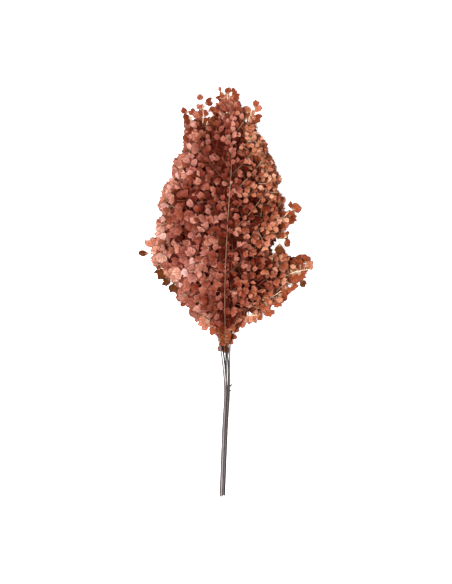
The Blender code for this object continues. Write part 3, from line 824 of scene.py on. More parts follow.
# Loose sprays at the edge of the bunch, in millimetres: the stalk's points (x, y), pale where nothing else
# is said, and for each leaflet its middle (x, y), which way it points in degrees, its size and its tint
sprays = {
    "frond_middle": (
        {
            "stalk": ((3, 199), (2, 208.5), (1, 217.5)),
            "leaflets": (
                (-3.5, 212, 120, 0.97, 0.3), (7.5, 209.5, 60, 0.97, 0.3), (2, 208.5, 90, 1.02, 0.45),
                (0, 212.5, 100, 0.91, 0.55), (1.5, 222, 90, 0.86, 0.25), (-6.5, 222.5, 110, 0.65, 0.65),
                (7.5, 222, 60, 0.59, 0.2), (-4.5, 217, 140, 0.97, 0.35), (9.5, 216, 20, 0.86, 0.2),
                (-8.5, 214, 170, 0.7, 0.2), (1, 215.5, 90, 0.75, 0.7), (5.5, 213.5, 60, 0.75, 0.6),
                (11, 208, -10, 0.86, 0.2), (-1.5, 210, 110, 0.97, 0.4), (5, 208.5, 80, 0.86, 0.3),
                (-7, 206, 120, 0.86, 0.6), (-1, 204.5, 100, 1.18, 0.45), (5.5, 202, 70, 0.97, 0.35),
                (13, 200, 10, 0.91, 0.25), (-9, 200, 130, 0.97, 0.4), (9.5, 195.5, 50, 0.97, 0.3),
            ),
        },
    ),
    "frond_high_left": (
        {
            "stalk": ((-27.5, 174.5), (-25, 194), (-25.5, 200), (-25, 211)),
            "leaflets": (
                (-29, 215.5, 95, 0.81, 0.6), (-19.5, 210, 25, 0.97, 0.2), (-28.5, 205.5, 100, 0.91, 0.62),
                (-16, 202, 30, 0.97, 0.3), (-30, 195.5, 110, 1.13, 0.6), (-21.5, 188, 60, 0.97, 0.2),
                (-26.5, 183, 90, 0.97, 0.5),
            ),
        },
        {
            "stalk": ((-32, 172.5), (-38.5, 189), (-42.5, 201)),
            "leaflets": (
                (-45.5, 200, 150, 0.91, 0.25), (-37.5, 199.5, 140, 0.91, 0.4),
                (-43, 191.5, 195, 1.08, 0.15), (-35, 187.5, 120, 0.86, 0.2), (-42, 181.5, 170, 1.08, 0.22),
                (-33.5, 182.5, 120, 1.08, 0.65), (-38.5, 174.5, 150, 1.02, 0.6),
                (-44, 170, 190, 1.08, 0.25),
            ),
        },
        {
            "stalk": ((-22, 179), (-20.5, 189), (-13.5, 196.5)),
            "leaflets": (
                (-10.5, 199, 80, 1.02, 0.55), (-24.5, 197.5, 90, 0.91, 0.3), (-19, 189.5, 40, 0.91, 0.12),
                (-14.5, 184.5, 60, 0.91, 0.2), (-21.5, 180.5, 80, 0.97, 0.15), (-29, 189, 110, 0.86, 0.3),
                (-32, 178, 120, 0.97, 0.2), (-10, 191, 70, 0.91, 0.35), (-11, 183.5, 80, 0.97, 0.4),
                (-13, 191.5, 40, 1.02, 0.25), (-18, 182.5, 60, 0.97, 0.3),
            ),
        },
    ),
    "frond_high_right": (
        {
            "stalk": ((23, 177), (25, 190), (27.5, 199), (29.5, 205.5)),
            "leaflets": (
                (32.5, 208, 75, 1.02, 0.35), (34, 201.5, 40, 1.02, 0.7), (22, 202, 115, 0.91, 0.6),
                (28.5, 199, 80, 0.81, 0.8), (21.5, 197.5, 120, 0.81, 0.85), (34, 192, -10, 1.02, 0.2),
                (29, 193, 20, 0.91, 0.65), (24.5, 188.5, 60, 0.91, 0.8), (19, 193.5, 140, 0.91, 0.3),
                (28.5, 180, 0, 0.81, 0.12), (23, 183.5, 90, 0.91, 0.4), (24, 194.5, 100, 0.86, 0.3),
                (29.5, 188, 20, 0.91, 0.25), (19.5, 186.5, 120, 0.97, 0.3), (16.5, 199, 120, 0.91, 0.25),
                (26, 174.5, 40, 0.91, 0.15), (20.5, 179, 80, 0.97, 0.45),
            ),
        },
        {
            "stalk": ((24, 166), (30.5, 167), (37, 161.5)),
            "leaflets": (
                (34.5, 172.5, -15, 1.08, 0.3), (28.5, 172.5, 40, 0.91, 0.55), (40.5, 162.5, 10, 0.97, 0.3),
                (35, 164.5, 60, 0.91, 0.6), (42.5, 156, -20, 0.91, 0.3),
            ),
        },
        {
            "stalk": ((50.5, 71), (61.5, 81), (70, 91)),
            "leaflets": (
                (71, 95, 110, 0.91, 0.2), (76.5, 93, 30, 1.08, 0.4), (69.5, 87, 100, 0.91, 0.3),
                (72.5, 81, -20, 0.91, 0.15), (66, 83.5, 80, 1.13, 0.3), (60.5, 85.5, 120, 1.02, 0.35),
                (65.5, 75, -20, 1.02, 0.55), (57.5, 73.5, 60, 1.13, 0.5),
            ),
        },
        {
            "stalk": ((49.5, 31.5), (53.5, 50.5), (60.5, 57), (66, 61.5)),
            "leaflets": (
                (66.5, 64.5, 60, 0.59, 0.2), (59.5, 62, 110, 0.81, 0.3), (66.5, 55, -20, 0.81, 0.14),
                (58, 48.5, -95, 1.13, 0.08),
            ),
        },
    ),
    "frond_low_right": (
        {
            "stalk": ((55, 7.5), (66, 18.5), (78, 23.5), (86.5, 25), (93.5, 26)),
            "leaflets": (
                (88, 36, 85, 0.97, 0.25), (92, 29.5, 10, 0.91, 0.75), (81, 32, 100, 0.81, 0.15),
                (75.5, 33, 110, 0.91, 0.2), (70, 31.5, 100, 1.02, 0.2), (86.5, 26.5, 40, 0.97, 0.45),
                (79, 27, 80, 0.91, 0.45), (72.5, 25.5, 110, 0.91, 0.4), (66, 25, 120, 0.97, 0.3),
                (84.5, 11, -80, 0.91, 0.08), (83.5, 19, -30, 1.02, 0.3), (75.5, 17.5, -60, 1.29, 0.35),
                (69, 15.5, -90, 1.02, 0.3), (74.5, 6, -40, 0.91, 0.35), (67, 2.5, -70, 0.97, 0.45),
                (57, 37, 100, 1.18, 0.8), (61.5, 32, 60, 0.97, 0.75),
            ),
        },
        {
            "stalk": ((39.5, -8), (50.5, -4.5), (60.5, 2)),
            "leaflets": (
                (62.5, -3.5, -20, 1.02, 0.3), (57.5, -11, -50, 1.02, 0.35), (50.5, -9, -90, 1.08, 0.5),
                (47.5, -22, -70, 0.91, 0.4), (42.5, -15.5, -100, 1.02, 0.5),
            ),
        },
        {
            "stalk": ((15, -21), (25, -24.5), (34, -24.5)),
            "leaflets": (
                (37, -26.5, -20, 0.81, 0.3), (33, -23.5, 20, 1.02, 0.75), (29.5, -29, -80, 1.02, 0.85),
                (23.5, -30, -100, 1.02, 0.75), (19, -25.5, -120, 1.02, 0.5),
            ),
        },
        {
            "stalk": ((4, -58.5), (7.5, -46.5), (15, -35.5)),
            "pale": 0,
            "leaflets": (
                (16.5, -33, 30, 1.08, 0.5), (10.5, -40.5, 50, 0.97, 0.35), (12, -29, 80, 1.08, 0.4),
                (6, -47.5, 60, 0.97, 0.3), (3, -54, -80, 0.86, 0.5),
            ),
        },
    ),
    "frond_low_left": (
        {
            "stalk": ((-62, 38), (-75, 42.5), (-85, 45)),
            "leaflets": (
                (-90, 43.5, 175, 0.97, 0.08), (-82, 54.5, 130, 1.24, 0.8), (-76.5, 57, 100, 0.91, 0.3),
                (-71.5, 53.5, 80, 1.24, 0.85), (-78.5, 46.5, 150, 1.13, 0.85),
                (-70.5, 43.5, 110, 1.13, 0.8), (-76, 38, 190, 1.02, 0.75),
            ),
        },
        {
            "stalk": ((-55, 23), (-64, 25), (-71.5, 27)),
            "leaflets": (
                (-77, 34.5, 215, 0.81, 0.2), (-72, 29, 200, 1.18, 0.14), (-76, 24, 220, 0.7, 0.1),
                (-68, 19.5, 200, 1.4, 0.05), (-65.5, 13, 225, 1.13, 0.07),
            ),
        },
        {
            "stalk": ((-40, 9.5), (-48.5, 8.5), (-56.5, 9.5)),
            "leaflets": (
                (-57.5, 7, 235, 1.24, 0.08), (-51, 6.5, 250, 1.02, 0.1), (-50.5, -2, 240, 1.13, 0.3),
                (-44, -9.5, 235, 1.24, 0.25),
            ),
        },
        {
            "stalk": ((-22, -25.5), (-30, -21), (-36.5, -19)),
            "leaflets": (
                (-40, -14, 240, 1.02, 0.5), (-35.5, -22, 240, 1.13, 0.4), (-30, -26.5, 250, 1.02, 0.55),
                (-24.5, -33, 200, 1.24, 0.75), (-18, -33.5, 240, 1.02, 0.7), (-12.5, -41, 240, 0.97, 0.4),
            ),
        },
    ),
}


# How their leaflets differ from those inside the bunch
loose = {
    "lift": 2.6,
    "lowest": 2 * mm,
    "jitter": 1,
    "larger": 1.2,
    "darkUnder": 0.13,  # leaflets with a lower tint are larger still
    "darkLarger": 1.15,
    "attached": 0.55,  # share of its length between a leaflet's middle and its root
    "pitch": (-0.1, 0.35),
    "roll": (-0.45, 0.45),
    "deeper": 0.9,
    "oliveUnder": 0.12,
    "rosy": 0.5,
    "orange": 0.55,
    "smallUnder": 0.9,  # smaller leaflets and olive ones are narrow, most others broad
    "narrow": (1, -0.75),
    "nearest": 0.8 * mm,
}


def growSpray(spec, spray, chance, leaflets, stems):
    def raised(x, y, lift):
        height = layerHeight(spec["layer"], x * mm, y * mm)
        return Vector((x * mm, y * mm, max(height + lift * mm, loose["lowest"])))

    line = smoothPath([raised(x, y, loose["lift"]) for x, y in spray["stalk"]], 3)
    pale = spray.get("pale", 1)
    addStem(stems, line, "spray", pale=pale)
    for x, y, degrees, size, tint in spray["leaflets"]:
        heading = turned(Vector((1, 0, 0)), math.radians(degrees))
        size *= loose["larger"] * (loose["darkLarger"] if tint < loose["darkUnder"] else 1)
        root = raised(x, y, chance.uniform(-1, 1) * loose["jitter"])
        base = root - heading * loose["attached"] * leaflet["length"] * size
        near = min(line, key=lambda point: (point - base).length + max(heading.dot(point - base), 0))
        if (near - base).length > loose["nearest"]:
            addStem(stems, [near, near.lerp(base, 0.5), base], "sprayLeaf", pale=pale)
        pitch, roll = chance.uniform(*loose["pitch"]), chance.uniform(*loose["roll"])
        tint *= loose["deeper"]
        olive = tint < loose["oliveUnder"]
        looks = {"tint": tint, "outer": 1.0, "olive": float(olive), **huesAt(base.x, 1, tint)}
        looks["rosy"] *= loose["rosy"]
        looks["orange"] *= loose["orange"]
        narrow = loose["narrow"][0 if size < loose["smallUnder"] or olive else 1]
        addLeaflet(leaflets, base, heading, up, pitch, roll, size, chance, looks, narrow)


# The stalks, ribs and finest stalks, with two short broken-off stubs on the right. Each kind has its radius
# at the root and at the end, how light it is there, and how much lighter it ends at the rim of the bunch
stalkForm = {
    "stalk": (0.95 * mm, 0.8 * mm, 0, 0, 0),
    # the rachis grows paler to its tip, partly its own colour and partly painted sheen of its gloss
    "rachis": (0.34 * mm, 0.18 * mm, 0.08, 0.5, 0),
    "stub": (0.6 * mm, 0.75 * mm, 0.1, 0.3, 0),
    "rib": (0.42 * mm, 0.2 * mm, 0.03, 0.03, 0.8),
    "shoot": (0.22 * mm, 0.14 * mm, 0.03, 0.05, 0.8),
    "flick": (0.22 * mm, 0.15 * mm, 0.3, 0.5, 0),
    "spray": (0.42 * mm, 0.32 * mm, 0.6, 1, 0),
    "sprayLeaf": (0.26 * mm, 0.18 * mm, 0.6, 0.8, 0),
    "deep": (0.18 * mm, 0.14 * mm, 0.03, 0.03, 0.6),
    "stubs": ((0.72, 3.6 * mm), (0.69, 1.8 * mm)),
    "stubAngle": math.radians(38),
    "stubSwell": 0.6,
    "lowest": 0.7 * mm,
    "sides": 8,
    # how light each frond's stalk is at its cut end and at the neck, painted grey as the sheen of its gloss
    "light": {
        "frond_middle": (1, 0),
        "frond_high_left": (0, 0),
        "frond_high_right": (0.35, 0.1),
        "frond_low_left": (0, 0.7),
        "frond_low_right": (0, 0.6),
    },
}


def growStalk(name, spec, spine, rachis, stems):
    bare = len(spine) - len(rachis)
    stalk = smoothPath(spine[: bare + 1], 3)
    radii = stalkForm["stalk"][:2]
    stems.append((stalk, *radii, *stalkForm["light"][name]))
    addStem(stems, smoothPath(spine[bare:], 2), "rachis")
    if spec.get("stubs"):
        for share, length in stalkForm["stubs"]:
            root, direction = atLength(stalk, share * pathLength(stalk))
            end = root + turned(direction, -stalkForm["stubAngle"]) * (length + radii[0])
            addStem(stems, [root, root.lerp(end, stalkForm["stubSwell"]), end], "stub")


def growPinna(name, number, spec, path, hand, chance, leaflets, stems):
    whole = pathLength(path)
    outer = looksAt(path[-1], Random(0))["outer"]
    addStem(stems, [sunkBy(point, pinna["sunk"]) for point in smoothPath(path, 2)], "rib", outer)
    growAlong(spec, path, scales, Random(f"{name} scales {number}"), leaflets)
    count = max(0, int((whole - pinna["firstShoot"] - pinna["firstEnd"]) / pinna["shootGap"]) + 1)
    side = -hand
    for index in range(count):
        length = pinna["firstShoot"] + pinna["shootGap"] * index
        point, direction = atLength(path, length)
        heading = turned(direction, side * pinna["shootAngle"] * chance.uniform(*pinna["shootSpread"]))
        size = chance.uniform(*pinna["sizeSpread"])
        slant = pinna["slant"] * chance.uniform(-1, 1)
        downhill = turned(direction, -hand * math.pi / 2)
        if length + pinna["lastEnd"] < whole:
            own = Random(f"{name} shoot {number} {index}")
            growShoot(spec, point, direction, heading, size, slant, downhill, own, leaflets, stems)
        side = -side
    point, direction = atLength(path, whole)
    downhill = turned(direction, -hand * math.pi / 2)
    own = Random(f"{name} end {number}")
    growShoot(spec, point, direction, turned(direction, 0), 1, 0, downhill, own, leaflets, stems)


def growFrond(name, spec):
    spine, rachis = spineOf(spec)
    leaflets, stems = [], []
    growStalk(name, spec, spine, rachis, stems)
    own = Random(f"{name} rachis")
    growAlong(spec, smoothPath(spine, 2), neck, own, leaflets)
    if spec["side"] == 0:
        growAlong(spec, rachis, crest, own, leaflets)
        growAlong(spec, rachis, lining, own, leaflets)
    for spray in sprays[name]:
        growSpray(spec, spray, own, leaflets, stems)
    for number, (path, hand, chance) in enumerate(pinnaeOf(name, spec, spine, rachis)):
        growPinna(name, number, spec, path, hand, chance, leaflets, stems)
    return leaflets, stems


# Leaflets deep in the bunch that fill the places where the ground would show through it
infill = {
    "cell": 0.6 * mm,
    "low": (-104 * mm, -66 * mm),
    "columns": 346,
    "rows": 494,
    "reach": 30 * mm,
    "ribRadius": 0.3 * mm,  # only thicker stalks carry these leaflets
    "ribHeight": 0.3,  # how much a high rib counts as further away
    "turn": 0.3,
    "sizes": (0.85, 1.15),
    "smaller": 0.75,
    "drop": (0.3, 5 * mm),
    "lowest": 1.5 * mm,
    # painted shade: how much darker the infill leaflets deep in the bunch are
    "shade": 0.45,
    "pitch": (-0.1, 0.2),
    "roll": (-0.25, 0.25),
    "margin": 3.5 * mm,
    "gapMargin": 1,
}


def markCover(cover, leaf):
    # Marks the cells that a leaflet hides, seen from above
    cell, low = infill["cell"], np.array(infill["low"])
    length = leaflet["length"] * leaf["size"] * leaflet["smallest"]
    turn = np.array(leaf["turn"].to_matrix())[:2]
    rim = (np.array(leaf["point"][:2]) + shapeRims[leaf["shape"]] @ turn.T * length - low) / cell
    left, near = np.maximum(np.floor(rim.min(axis=0)).astype(int), 0)
    right, far = np.minimum(np.ceil(rim.max(axis=0)).astype(int), (infill["columns"] - 1, infill["rows"] - 1))
    x, y = np.meshgrid(np.arange(left, right + 1), np.arange(near, far + 1))
    inside = np.zeros(x.shape, bool)
    for (ax, ay), (bx, by) in zip(rim, np.roll(rim, -1, axis=0)):
        if ay != by:
            inside ^= ((ay > y) != (by > y)) & (x < (bx - ax) * (y - ay) / (by - ay) + ax)
    cover[y[inside], x[inside]] = True


# Leaflets that lie under others are painted darker, as the shade of those above
depth = {"cell": 6 * mm, "top": 0.8, "fade": (1.2 * mm, 7 * mm), "shade": 0.55}


def shadeDeep(grownFronds):
    heights = {}
    every = [leaf for leaflets, _ in grownFronds.values() for leaf in leaflets]

    def cellOf(leaf):
        return round(leaf["point"].x / depth["cell"]), round(leaf["point"].y / depth["cell"])

    for leaf in every:
        heights.setdefault(cellOf(leaf), []).append(leaf["point"].z)
    for leaf in every:
        column, row = cellOf(leaf)
        near = [z for a in (-1, 0, 1) for b in (-1, 0, 1) for z in heights.get((column + a, row + b), [])]
        top = sorted(near)[int(depth["top"] * len(near))]
        # painted shade from the leaflets above
        shade = depth["shade"] * smoothStep(*depth["fade"], top - leaf["point"].z) * (1 - leaf["outer"])
        leaf["tint"] = max(leaf["tint"] - shade, leafTone["darkest"])


def openPlaces(cover):
    # The cells inside the rim that no leaflet hides, without the gaps
    places, (lowX, lowY) = [], infill["low"]
    for row, column in np.argwhere(~cover):
        place = Vector((lowX + column * infill["cell"], lowY + row * infill["cell"], 0))
        if not (beyondRim(place, infill["margin"]) or inGap(place, infill["gapMargin"])):
            places.append((row, column, place))
    return places


def growInfill(grownFronds):
    chance = Random("infill")
    cover = np.zeros((infill["rows"], infill["columns"]), bool)
    ribs = []
    for name, (leaflets, stems) in grownFronds.items():
        for leaf in leaflets:
            markCover(cover, leaf)
        ribs += [(name, point) for stem in stems for point in stem[0] if stem[1] > infill["ribRadius"]]
    places, count = openPlaces(cover), 0
    chance.shuffle(places)
    for row, column, place in places:
        if cover[row, column]:
            continue
        higher = infill["ribHeight"]
        nearest, root = min(ribs, key=lambda rib: (rib[1].xy - place.xy).length + higher * rib[1].z)
        distance = (root.xy - place.xy).length
        if distance > infill["reach"]:
            continue
        spec = fronds[nearest]
        if distance > mm:
            heading = Vector((place.x - root.x, place.y - root.y, 0)).normalized()
        else:
            heading = turned(Vector((0, 1, 0)), chance.uniform(-1, 1))
        heading = turned(heading, chance.uniform(-infill["turn"], infill["turn"]))
        size = chance.uniform(*infill["sizes"])
        if not fits(centreOf(place, -heading, size), heading, size, 0):
            size *= infill["smaller"]
        base = centreOf(place, -heading, size)
        if not fits(base, heading, size, 0):
            continue
        least, drop = infill["drop"]
        height = layerHeight(spec["layer"], place.x, place.y) - chance.uniform(least, 1) * drop
        base.z = max(min(height, root.z), infill["lowest"])
        looks = looksAt(place, chance)
        # Painted shade: the infill leaflets lie deep in the bunch
        looks["tint"] = max(looks["tint"] - infill["shade"] * (1 - looks["outer"]), 0)
        leaflets, stems = grownFronds[nearest]
        roll, pitch = chance.uniform(*infill["roll"]), chance.uniform(*infill["pitch"])
        addLeaflet(leaflets, base, heading, up, pitch, roll, size, chance, looks)
        addStem(stems, [root, root.lerp(base, 0.5), base], "deep", looks["outer"])
        markCover(cover, leaflets[-1])
        cover[row, column] = True
        count += 1
    print("open places", len(places), "infill leaflets", count)


# Materials
leafLook = {
    "hues": (
        (0.0, (0.050, 0.004, 0.001)),
        (0.15, (0.120, 0.012, 0.004)),
        (0.3, (0.220, 0.036, 0.015)),
        (0.5, (0.350, 0.094, 0.055)),
        (0.75, (0.590, 0.235, 0.158)),
        (1.0, (0.950, 0.620, 0.490)),
    ),
    "rosyHue": (1.0, 1.03, 1.22),
    "warmHue": (1.04, 0.94, 0.70),
    "orange": (0.500, 0.130, 0.036),
    "olive": (0.110, 0.038, 0.009),
    "oliveShare": 0.8,
    "glow": (0.80, 0.20, 0.04),
    "glowShare": 0.5,
    "translucency": 0.3,
    # each fade: where on the way from root to rim it starts and ends, then how strong it is at both
    # rootShade: painted shade where the leaflets overlap at their roots
    "rootShade": (0.08, 0.42, 0.3, 1.0),
    "paleBase": (0.70, 0.47, 0.32),
    "paleFade": (0.42, 0.05, 0, 0.75),
    # rim: painted highlight towards each leaflet's rim, stronger on light leaflets
    "rim": (0.92, 0.62, 0.52),
    "rimHighlightFade": (0.6, 0.85, 0, 1),
    "rimHighlightShare": 0.16,
    # edge: painted shade of the gaps between leaflets, as a dark band at each leaflet's edge
    "edge": (0.10, 0.010, 0.004),
    "edgeShadeFade": (0.86, 0.98, 0, 0.7),
    "blotches": (420, 3),  # scale and detail
    "blotchShade": (0.3, 0.7, 0.68, 1.25),
    "veins": 7,
    "veinWobble": 3,
    "veinSharpness": 5,
    "veinShade": 0.5,
    "veinDepth": -0.6,
    "crinkles": (700, 2),
    "bump": (0.4, 0.3 * mm),
    "roughness": 0.7,
    "gloss": 0.04,
}

stemLook = {
    "dark": (0.006, 0.003, 0.003),
    "thin": (0.120, 0.026, 0.014),
    "pale": (0.84, 0.66, 0.44),
    # grey: painted sheen of the glossy thick stalks where they are light
    "grey": (0.22, 0.18, 0.18),
    # each fade by the stalk's radius: from, to, and how strong it is at both
    "darkening": (0.3 * mm, 0.45 * mm, 0, 1),
    "sheenGreying": (0.5 * mm, 0.7 * mm, 0, 1),
    "gloss": (0.3 * mm, 0.7 * mm, 0.03, 0.06),
    "stretch": (1, 0.12, 1),
    "grain": (900, 3),  # scale and detail
    "streaks": (0.35, 0.65, 0.75, 1.3),
    "bump": (0.15, 0.1 * mm),
    "roughness": 0.3,
}


def nodeOf(tree, kind, **settings):
    # Each new node takes the next place in rows of eight
    node = tree.nodes.new(kind)
    node.location = (220 * (len(tree.nodes) % 8), -260 * (len(tree.nodes) // 8))
    for key, value in settings.items():
        setattr(node, key, value)
    return node


def feed(tree, socket, value):
    # A socket takes a number, a colour or another node's output
    if isinstance(value, (int, float)):
        socket.default_value = value
    elif isinstance(value, tuple):
        socket.default_value = (*value, 1)
    else:
        tree.links.new(value, socket)


def mathOf(tree, operation, *values):
    node = nodeOf(tree, "ShaderNodeMath", operation=operation)
    for socket, value in zip(node.inputs, values):
        feed(tree, socket, value)
    return node.outputs[0]


def product(tree, a, b):
    return mathOf(tree, "MULTIPLY", a, b)


def mixOf(tree, factor, a, b, blend="MIX"):
    node = nodeOf(tree, "ShaderNodeMix", data_type="RGBA", blend_type=blend)
    for index, value in ((0, factor), (6, a), (7, b)):
        feed(tree, node.inputs[index], value)
    return node.outputs[2]


def newMaterial(name):
    material = bpy.data.materials.new(name)
    material.use_nodes = True
    tree = material.node_tree
    return material, tree, tree.nodes["Principled BSDF"], tree.nodes["Material Output"]


def rangeOf(tree, value, fade):
    node = nodeOf(tree, "ShaderNodeMapRange")
    for key, number in zip(("From Min", "From Max", "To Min", "To Max"), fade):
        node.inputs[key].default_value = number
    tree.links.new(value, node.inputs["Value"])
    return node.outputs[0]


def shadedBy(tree, colour, share):
    # Multiplies a colour by a single value
    grey = nodeOf(tree, "ShaderNodeCombineColor")
    for socket in grey.inputs:
        tree.links.new(share, socket)
    return mixOf(tree, 1.0, colour, grey.outputs[0], "MULTIPLY")


def attributeOf(tree, name):
    return nodeOf(tree, "ShaderNodeAttribute", attribute_name=name).outputs["Fac"]


def noiseOf(tree, place, look):
    noise = nodeOf(tree, "ShaderNodeTexNoise")
    noise.inputs["Scale"].default_value, noise.inputs["Detail"].default_value = look
    tree.links.new(place, noise.inputs["Vector"])
    return noise.outputs[0]


def addBump(tree, shader, height, look):
    bump = nodeOf(tree, "ShaderNodeBump")
    bump.inputs["Strength"].default_value, bump.inputs["Distance"].default_value = look
    tree.links.new(height, bump.inputs["Height"])
    tree.links.new(bump.outputs[0], shader.inputs["Normal"])


def driedLeafMaterial():
    material, tree, shader, output = newMaterial("driedLeaf")
    links = tree.links
    names = ("tint", "outer", "rosy", "olive", "orange", "ownStalk")
    tint, outer, rosy, olive, orange, own = (attributeOf(tree, name) for name in names)
    split = nodeOf(tree, "ShaderNodeSeparateXYZ")
    links.new(nodeOf(tree, "ShaderNodeUVMap", uv_map="UVMap").outputs["UV"], split.inputs[0])
    ray, rise = split.outputs[0], split.outputs[1]
    place = nodeOf(tree, "ShaderNodeTexCoord").outputs["Object"]

    # The leaflet's own hue
    hues = nodeOf(tree, "ShaderNodeValToRGB")
    while len(hues.color_ramp.elements) < len(leafLook["hues"]):
        hues.color_ramp.elements.new(0.5)
    for element, (position, colour) in zip(hues.color_ramp.elements, leafLook["hues"]):
        element.position = position
        element.color = (*colour, 1)
    links.new(tint, hues.inputs[0])
    shift = mixOf(tree, rosy, leafLook["warmHue"], leafLook["rosyHue"])
    colour = mixOf(tree, 1.0, hues.outputs[0], shift, "MULTIPLY")
    colour = mixOf(tree, orange, colour, leafLook["orange"])
    colour = mixOf(tree, product(tree, olive, leafLook["oliveShare"]), colour, leafLook["olive"])

    # Painted shade at its root, where the leaflets overlap, with blotches and veins
    blotch = noiseOf(tree, place, leafLook["blotches"])
    spread = product(tree, ray, leafLook["veins"] * math.pi)
    wave = mathOf(tree, "SINE", mathOf(tree, "ADD", spread, product(tree, blotch, leafLook["veinWobble"])))
    vein = mathOf(tree, "POWER", mathOf(tree, "ABSOLUTE", wave), leafLook["veinSharpness"])
    blotches = rangeOf(tree, blotch, leafLook["blotchShade"])
    shade = product(tree, rangeOf(tree, rise, leafLook["rootShade"]), blotches)
    lined = mathOf(tree, "SUBTRACT", 1, product(tree, vein, leafLook["veinShade"]))
    colour = shadedBy(tree, colour, product(tree, shade, lined))

    # A painted highlight towards its rim, a dark edge painted as the shade between leaflets, and at the
    # outside of the bunch a pale base
    rim = product(tree, rangeOf(tree, rise, leafLook["rimHighlightFade"]), leafLook["rimHighlightShare"])
    colour = mixOf(tree, product(tree, rim, tint), colour, leafLook["rim"])
    colour = mixOf(tree, rangeOf(tree, rise, leafLook["edgeShadeFade"]), colour, leafLook["edge"])
    base = product(tree, rangeOf(tree, rise, leafLook["paleFade"]), mathOf(tree, "POWER", outer, 2))
    colour = mixOf(tree, base, colour, leafLook["paleBase"])
    stalk = mixOf(tree, mathOf(tree, "POWER", outer, 3), stemLook["thin"], stemLook["pale"])
    colour = mixOf(tree, own, colour, stalk)
    links.new(colour, shader.inputs["Base Color"])
    shader.inputs["Roughness"].default_value = leafLook["roughness"]
    shader.inputs["Specular IOR Level"].default_value = leafLook["gloss"]

    crinkle = noiseOf(tree, place, leafLook["crinkles"])
    height = mathOf(tree, "ADD", crinkle, product(tree, vein, leafLook["veinDepth"]))
    addBump(tree, shader, height, leafLook["bump"])
    glow = nodeOf(tree, "ShaderNodeBsdfTranslucent")
    links.new(mixOf(tree, leafLook["glowShare"], colour, leafLook["glow"]), glow.inputs["Color"])
    blend = nodeOf(tree, "ShaderNodeMixShader")
    blend.inputs[0].default_value = leafLook["translucency"]
    links.new(shader.outputs[0], blend.inputs[1])
    links.new(glow.outputs[0], blend.inputs[2])
    links.new(blend.outputs[0], output.inputs[0])
    return material


def wiryStalkMaterial():
    material, tree, shader, output = newMaterial("wiryStalk")
    pale, thick = attributeOf(tree, "pale"), attributeOf(tree, "thick")
    stretch = nodeOf(tree, "ShaderNodeMapping")
    stretch.inputs["Scale"].default_value = stemLook["stretch"]
    tree.links.new(nodeOf(tree, "ShaderNodeTexCoord").outputs["Object"], stretch.inputs[0])
    grain = noiseOf(tree, stretch.outputs[0], stemLook["grain"])
    dark = mixOf(tree, rangeOf(tree, thick, stemLook["darkening"]), stemLook["thin"], stemLook["dark"])
    # Thick stalks that are light take grey, painted as their sheen
    light = mixOf(tree, rangeOf(tree, thick, stemLook["sheenGreying"]), stemLook["pale"], stemLook["grey"])
    streaks = rangeOf(tree, grain, stemLook["streaks"])
    colour = shadedBy(tree, mixOf(tree, pale, dark, light), streaks)
    tree.links.new(colour, shader.inputs["Base Color"])
    tree.links.new(rangeOf(tree, thick, stemLook["gloss"]), shader.inputs["Specular IOR Level"])
    shader.inputs["Roughness"].default_value = stemLook["roughness"]
    addBump(tree, shader, grain, stemLook["bump"])
    return material


# Geometry Nodes
def newTree(name, inputs):
    tree = bpy.data.node_groups.new(name, "GeometryNodeTree")
    tree.interface.new_socket("Geometry", in_out="INPUT", socket_type="NodeSocketGeometry")
    tree.interface.new_socket("Geometry", in_out="OUTPUT", socket_type="NodeSocketGeometry")
    for label, kind in inputs.items():
        tree.interface.new_socket(label, in_out="INPUT", socket_type=f"NodeSocket{kind}")
    return tree, nodeOf(tree, "NodeGroupInput")


def endTree(tree, start, *row):
    # Joins the last nodes in a row, then realizes the instances and sets the material
    dress = nodeOf(tree, "GeometryNodeSetMaterial")
    row = (*row, nodeOf(tree, "GeometryNodeRealizeInstances"), dress, nodeOf(tree, "NodeGroupOutput"))
    for a, b in zip(row, row[1:]):
        tree.links.new(a.outputs[0], b.inputs[0])
    tree.links.new(start.outputs["Material"], dress.inputs["Material"])
    return tree


def named(tree, name, kind="FLOAT"):
    node = nodeOf(tree, "GeometryNodeInputNamedAttribute", data_type=kind)
    node.inputs["Name"].default_value = name
    return node.outputs[0]


def leafletTree():
    sizes = {"Leaflet Length": "Float", "Smallest": "Float", "Largest": "Float", "Seed": "Int"}
    inputs = {"Leaflet Shapes": "Collection", **sizes, "Material": "Material"}
    tree, start = newTree("leafletScatter", inputs)
    shapes = nodeOf(tree, "GeometryNodeCollectionInfo")
    shapes.inputs["Separate Children"].default_value = True
    shapes.inputs["Reset Children"].default_value = True
    turn = nodeOf(tree, "FunctionNodeEulerToRotation")
    growth = nodeOf(tree, "FunctionNodeRandomValue", data_type="FLOAT")
    size = product(tree, named(tree, "size"), growth.outputs[1])
    place = nodeOf(tree, "GeometryNodeInstanceOnPoints")
    place.inputs["Pick Instance"].default_value = True
    for output, socket in (
        (start.outputs["Leaflet Shapes"], shapes.inputs["Collection"]),
        (named(tree, "turn", "FLOAT_VECTOR"), turn.inputs[0]),
        (start.outputs["Smallest"], growth.inputs[2]),
        (start.outputs["Largest"], growth.inputs[3]),
        (start.outputs["Seed"], growth.inputs["Seed"]),
        (start.outputs["Geometry"], place.inputs["Points"]),
        (shapes.outputs[0], place.inputs["Instance"]),
        (named(tree, "shape", "INT"), place.inputs["Instance Index"]),
        (turn.outputs[0], place.inputs["Rotation"]),
        (product(tree, size, start.outputs["Leaflet Length"]), place.inputs["Scale"]),
    ):
        tree.links.new(output, socket)
    return endTree(tree, start, place)


